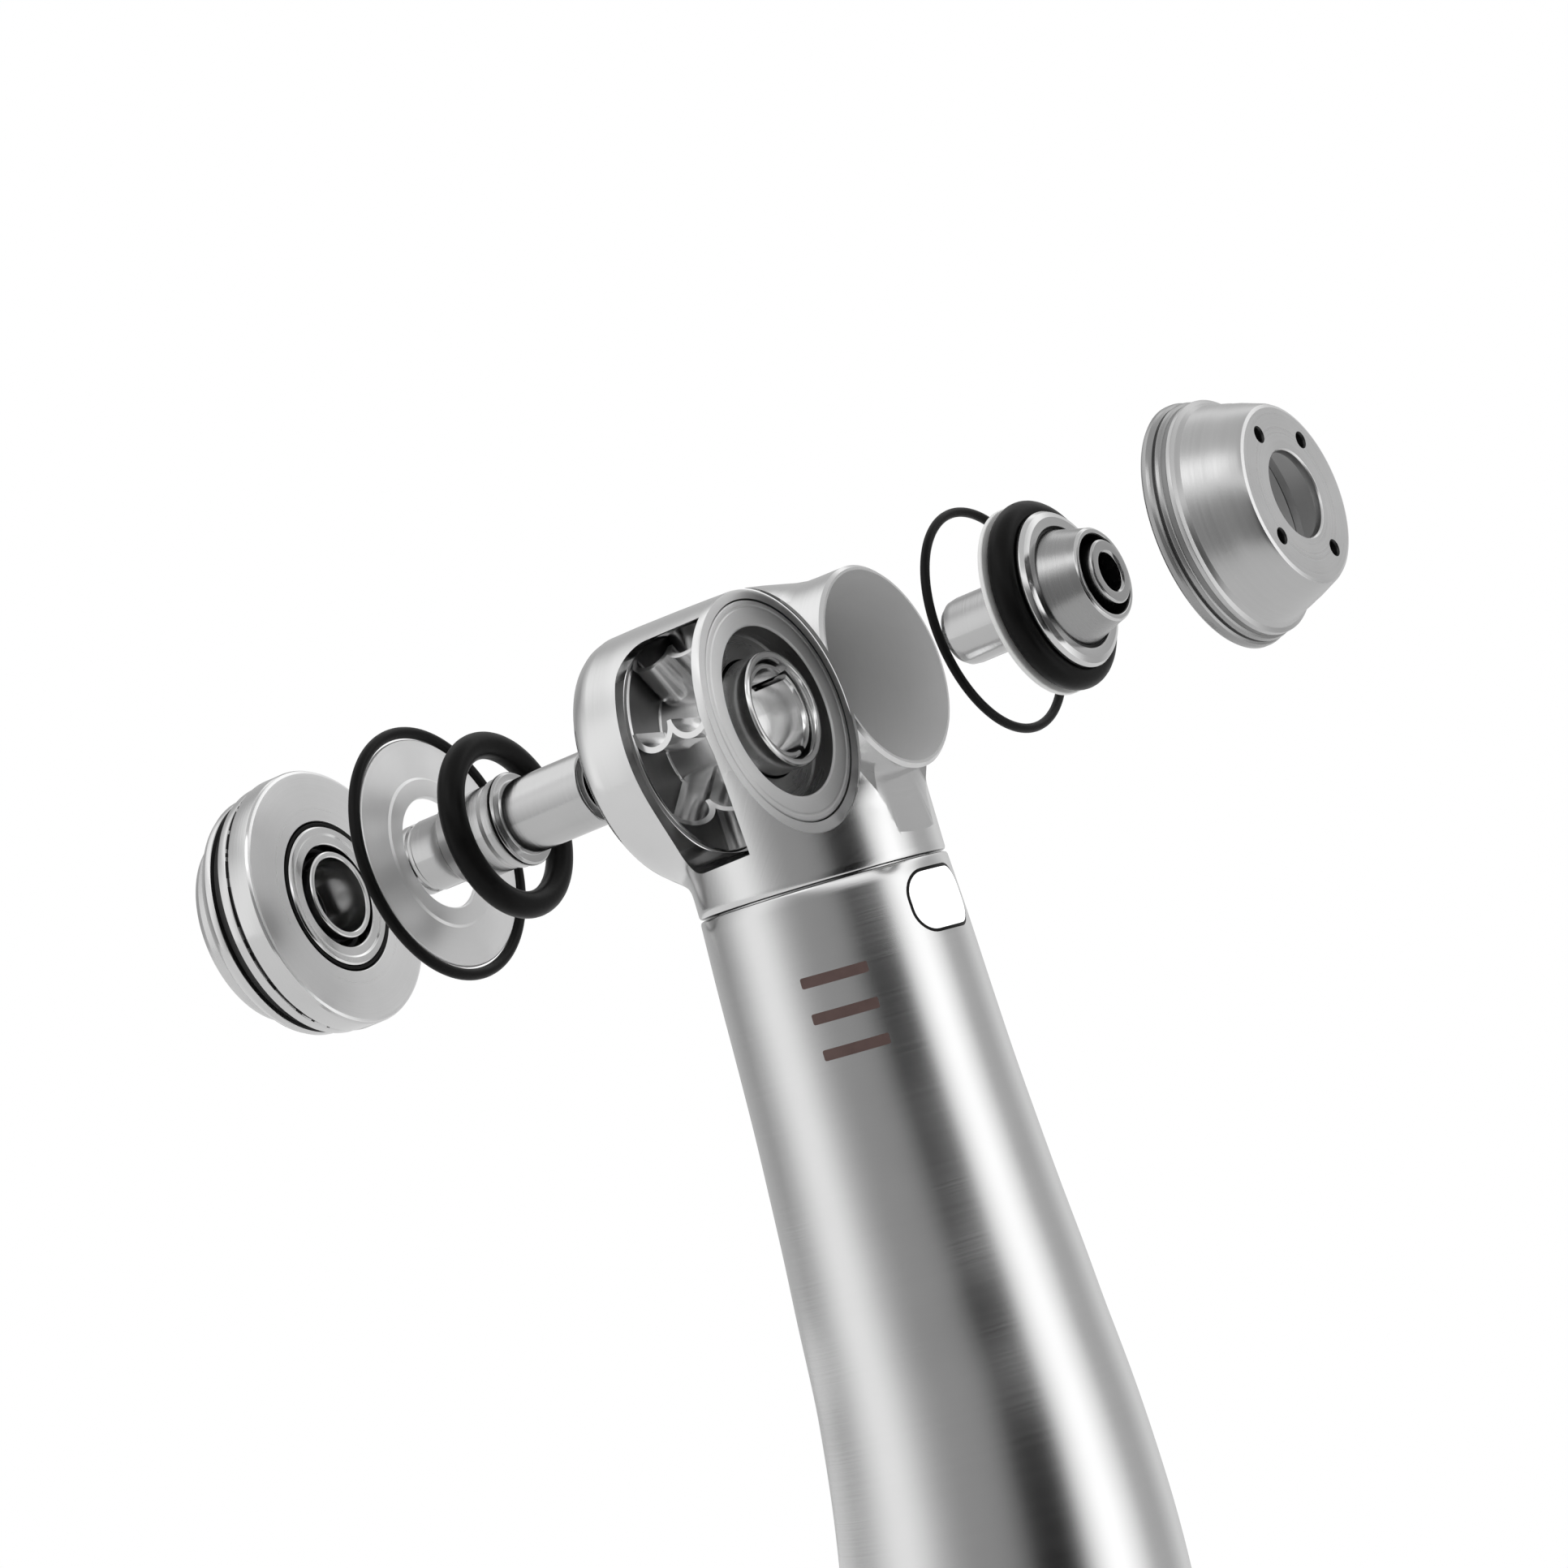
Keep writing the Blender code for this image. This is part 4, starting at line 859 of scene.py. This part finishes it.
SP_N, SP_T = 160, 1.6
bm = bmesh.new()
rings = []
Mo = Matrix.Translation(at(U_CAP) * MM) @ Matrix.Rotation(HEAD_TILT, 4, "Y")
for i in range(SP_N + 1):
    t = i / SP_N
    a = math.tau * SP_T * t
    rr = 3.1 + 0.9 * t
    centre = Vector((rr * math.cos(a), rr * math.sin(a), -3.10 - 0.52 * t))
    out = Vector((math.cos(a), math.sin(a), 0.0))
    rings.append([bm.verts.new(Mo @ ((centre + out * 0.14 * math.cos(b) + Vector((0, 0, 1)) * 0.14 * math.sin(b)) * MM))
                  for b in (math.tau * k / 12 for k in range(12))])
for a, b in zip(rings, rings[1:]):
    for i in range(12):
        j = (i + 1) % 12
        bm.faces.new((a[i], a[j], b[j], b[i]))
bm.faces.new(rings[0])
bm.faces.new(rings[-1])
piece(mesh_object("button_spring_vis", bm), POLISHED, "rear_cap", ["button_spring"])

# ------------------------------------------------------------------ front stack
piece(revolve("front_seal_ring_vis", ring_profile(5.13, 0.215), at(U_FRING)), RUBBER, "front_seal", ["front_seal_ring"])
piece(revolve("front_damper_ring_vis", ring_profile(3.82, 0.63, 32), at(U_FUNIT)), RUBBER, "front_unit", ["front_damper_ring"])
carrier = revolve("front_bearing_carrier_vis", fillet([
    (2.10, 2.86), (2.20, 2.76), (2.28, 2.45), (2.66, 1.22), (2.72, 1.04), (2.84, 0.98), (2.84, 1.12), (3.30, 1.14),
    (3.56, 1.02), (3.68, 0.84), (3.68, 0.68), (3.16, 0.66), (3.16, -0.64), (2.62, -0.64), (2.62, 1.00), (1.88, 1.02),
    (1.88, 2.80), (1.94, 2.86)], 0.05), at(U_FUNIT))
piece(carrier, [CAPS_REAR, GROOVE_SHADE, RIB_AND_CONE_SHADE], "front_unit", ["front_bearing_carrier"])
# painted shade: the carrier's cone takes the darker steel
paint(carrier, groove_zone(at(U_FUNIT), [(1.0, 2.66, 2.0, 2.78)]), 2)
# painted shade: black in the carrier's groove and its bore
paint(carrier, groove_zone(at(U_FUNIT), [(0.9, 1.16, 2.72, 2.98), (-0.7, 2.84, 1.8, 1.92)]), 1)
piece(revolve("front_seal_disc_vis", fillet([
    (4.36, -0.68), (4.40, -0.72), (4.40, -0.90), (1.86, -0.90), (1.86, -0.68)], 0.04), at(U_FUNIT)),
    PTFE, "front_unit", ["front_seal_disc"])
piece(revolve("front_journal_vis", fillet([
    (1.00, 3.22), (1.42, 3.22), (1.50, 3.14), (1.50, 0.95), (1.72, 0.90), (1.72, -1.10), (1.56, -1.30),
    (1.56, -4.55), (1.50, -4.95), (1.30, -5.24), (0.95, -5.24), (0.90, -5.18), (0.90, 3.12)], 0.05), at(U_FUNIT)),
    SHAFT, "front_shaft", ["front_journal"])
piece(ball_cage("front_ball_cage_vis", at(U_FUNIT), 2.165, 0.385, 7, 0.10, 0.15, 0.36), PHENOLIC, "front_cage", ["front_ball_cage"])

cap = revolve("front_cap_vis", fillet([
    (2.10, 4.31), (3.98, 4.31), (4.14, 4.25), (4.24, 4.10), (4.62, 3.15), (4.76, 2.70), (4.80, 2.62), (5.08, 1.72),
    (5.22, 1.52), (5.42, 1.42), (5.44, 1.22), (5.34, 1.12), (5.34, 0.98), (5.50, 0.90), (5.56, 0.74), (5.48, 0.62),
    (5.50, 0.54), (5.62, 0.46), (5.68, 0.32), (5.68, 0.12), (5.60, 0.02), (5.50, 0.0), (5.42, 0.0), (5.40, 0.03),
    (5.40, 1.36), (4.66, 1.36), (4.60, 1.80), (4.20, 1.95), (2.62, 3.84), (2.16, 3.86), (2.02, 3.92), (2.02, 4.23)], 0.04),
    at(U_FCAP), steps=176)
sprays = []
for k, deg in enumerate(SPRAY_ANGLES):
    a = math.radians(deg)
    p = at(U_FCAP) + AY * (3.16 * math.cos(a)) + UP * (3.16 * math.sin(a))
    sprays.append(revolve("spray_%d" % k, [(0.0, 5.2), (0.44, 5.2), (0.40, 4.31), (0.34, 4.24), (0.33, 4.19), (0.33, 2.6), (0.0, 2.6)],
                          p, steps=36, closed=False))
cut(cap, sprays)
settle(cap)
piece(cap, [CAPS, GROOVE_SHADE, SHADE, FACE_B, RIB_AND_CONE_SHADE], "nose_cap", ["front_cap"])
# painted shade: black in the grooves between the front cap's ribs
paint(cap, groove_zone(at(U_FCAP), [(0.93, 1.16, 5.30, 5.42), (0.5, 0.66, 5.4, 5.53)]), 1)
paint(cap, groove_zone(at(U_FCAP), [(1.34, 3.90, 0.0, 5.0), (0.02, 1.37, 5.36, 5.42), (3.7, 4.24, 1.9, 2.12)]), 2)


def spray_wall(p, nrm):
    q = p - at(U_FCAP)
    u = q.dot(H)
    if not 2.4 < u < 4.30:
        return False
    for deg in SPRAY_ANGLES:
        a = math.radians(deg)
        s = at(U_FCAP) + AY * (3.16 * math.cos(a)) + UP * (3.16 * math.sin(a))
        d = p - s
        if (d - H * d.dot(H)).length < 0.39 and abs(nrm.dot(H)) < 0.9:
            return True
    return False


def outer_side(p, nrm):
    q = p - at(U_FCAP)
    rad = q - H * q.dot(H)
    return nrm.dot(rad) > 0.2 * rad.length and rad.length > 4.2 and q.dot(H) > 1.3


paint(cap, outer_side, 0)
paint(cap, facing(at(U_FCAP), 4.24, 4.4, 2.05, 4.2), 3)
# painted shade: the lower ribs of the front cap take the darker steel
paint(cap, groove_zone(at(U_FCAP), [(0.02, 0.52, 5.5, 5.7), (0.66, 0.95, 5.4, 5.6)]), 4)
# painted shade: black on the walls of the spray holes
paint(cap, spray_wall, 1)

for o in scrap:
    if o.name in bpy.data.objects:
        bpy.data.objects.remove(o, do_unlink=True)

# ------------------------------------------------------------------ camera
cam = bpy.data.cameras.new("camera")
cam.lens = 158.4
cam.sensor_width = 36.0
cam.clip_start = 0.01
cam.clip_end = 20.0
eye = bpy.data.objects.new("camera", cam)
bpy.context.scene.collection.objects.link(eye)
P0 = C + RIGHT * 0.22 - SKY * 3.37
M = Matrix((RIGHT, SKY, VIEW)).transposed().to_4x4()
M.translation = (P0 + VIEW * 314.8) * MM
eye.matrix_world = M
bpy.context.scene.camera = eye

# ------------------------------------------------------------------ floor, backdrop, light
floor_mat, nf, bf = blank("floor")
cf = nf.new("ShaderNodeTexCoord").outputs["Object"]
nf.link(nf.ramp(nf.noise(cf, 14.0, 3.0, 0.5), [(0.3, (0.90, 0.90, 0.90)), (0.7, (0.93, 0.93, 0.93))]), bf.inputs["Base Color"])
bf.inputs["Roughness"].default_value = 0.7
bm = bmesh.new()
bmesh.ops.create_circle(bm, cap_ends=True, segments=128, radius=0.29, matrix=Matrix.Translation((0, 0, -0.0001)))
floor = mesh_object("floor", bm)
floor.data.materials.append(floor_mat)

white = bpy.data.materials.new("backdrop")
white.use_nodes = True
for nd in list(white.node_tree.nodes):
    white.node_tree.nodes.remove(nd)
em = white.node_tree.nodes.new("ShaderNodeEmission")
em.inputs["Color"].default_value = (1.0, 1.0, 1.0, 1.0)
em.inputs["Strength"].default_value = 1.0
mo = white.node_tree.nodes.new("ShaderNodeOutputMaterial")
white.node_tree.links.new(em.outputs[0], mo.inputs["Surface"])
bm = bmesh.new()
bmesh.ops.create_icosphere(bm, subdivisions=4, radius=6.0)
dome_obj = mesh_object("backdrop", bm)
dome_obj.data.materials.append(white)
dome_obj.visible_diffuse = False
dome_obj.visible_glossy = False
dome_obj.visible_transmission = False
dome_obj.visible_volume_scatter = False
dome_obj.visible_shadow = False

# the studio round the object: a tent with white panels and grey gaps, set by the direction it is seen in
world = bpy.data.worlds.new("studio")
bpy.context.scene.world = world
world.use_nodes = True
nw = Nodes(world.node_tree)
bg = world.node_tree.nodes["Background"]
d = nw.new("ShaderNodeTexCoord").outputs["Generated"]
fwd = Vector((VIEW.x, VIEW.y, 0.0)).normalized()
rgt = Vector((-fwd.y, fwd.x, 0.0))
az = nw.math("ARCTAN2", nw.vec("DOT_PRODUCT", d, tuple(rgt)), nw.vec("DOT_PRODUCT", d, tuple(fwd)))
turn = nw.math("ADD", nw.math("DIVIDE", az, math.tau), 0.5)
PANELS = [(-180, 0.55), (-147, 0.50), (-123, 0.36), (-106, 0.58), (-92, 0.9), (-80, 1.12), (-68, 1.12), (-57, 0.9), (-47, 0.62),
          (-37, 0.44), (-28, 0.36), (-9, 0.33), (0, 0.29), (9, 0.17), (17, 0.03), (28, 0.0), (39, 0.0), (46, 0.14), (55, 0.90),
          (68, 1.5), (80, 1.55), (92, 1.15), (106, 0.55), (123, 0.50), (147, 0.82), (180, 0.60)]
around = nw.ramp(turn, [((a + 180.0) / 360.0, v) for a, v in PANELS])
height = nw.vec("DOT_PRODUCT", d, (0.0, 0.0, 1.0))
over_top = nw.ramp(nw.math("ADD", nw.math("MULTIPLY", height, 0.5), 0.5), [(0.0, 0.75), (0.28, 0.55), (0.5, 0.3), (0.70, 0.85), (0.785, 1.6), (0.83, 1.35), (0.9, 0.75), (1.0, 0.7)])
share = nw.ramp(nw.math("ABSOLUTE", height), [(0.0, 0.0), (0.38, 0.0), (0.66, 1.0), (1.0, 1.0)])
mixed = world.node_tree.nodes.new("ShaderNodeMix")
mixed.data_type = "RGBA"
nw.link(share, mixed.inputs["Factor"])
nw.link(around, mixed.inputs[6])
nw.link(over_top, mixed.inputs[7])
nw.link(mixed.outputs[2], bg.inputs["Color"])
bg.inputs["Strength"].default_value = 1.0


def softbox(name, place, target, size, power):
    la = bpy.data.lights.new(name, "AREA")
    la.shape = "RECTANGLE"
    la.size, la.size_y = size
    la.energy = power
    o = bpy.data.objects.new(name, la)
    bpy.context.scene.collection.objects.link(o)
    o.location = place
    o.rotation_euler = (Vector(target) - Vector(place)).to_track_quat("-Z", "Y").to_euler()
    return o


centre = C * MM
softbox("key", centre + (RIGHT * -0.35 + SKY * 0.55 + VIEW * 0.35), centre, (0.30, 0.30), 0.35)
softbox("fill", centre + (RIGHT * 0.55 + SKY * 0.15 + VIEW * 0.25), centre, (0.25, 0.40), 0.02)

vs = bpy.context.scene.view_settings
vs.view_transform = "Standard"
vs.look = "None"
vs.exposure = 0.0
vs.gamma = 1.0
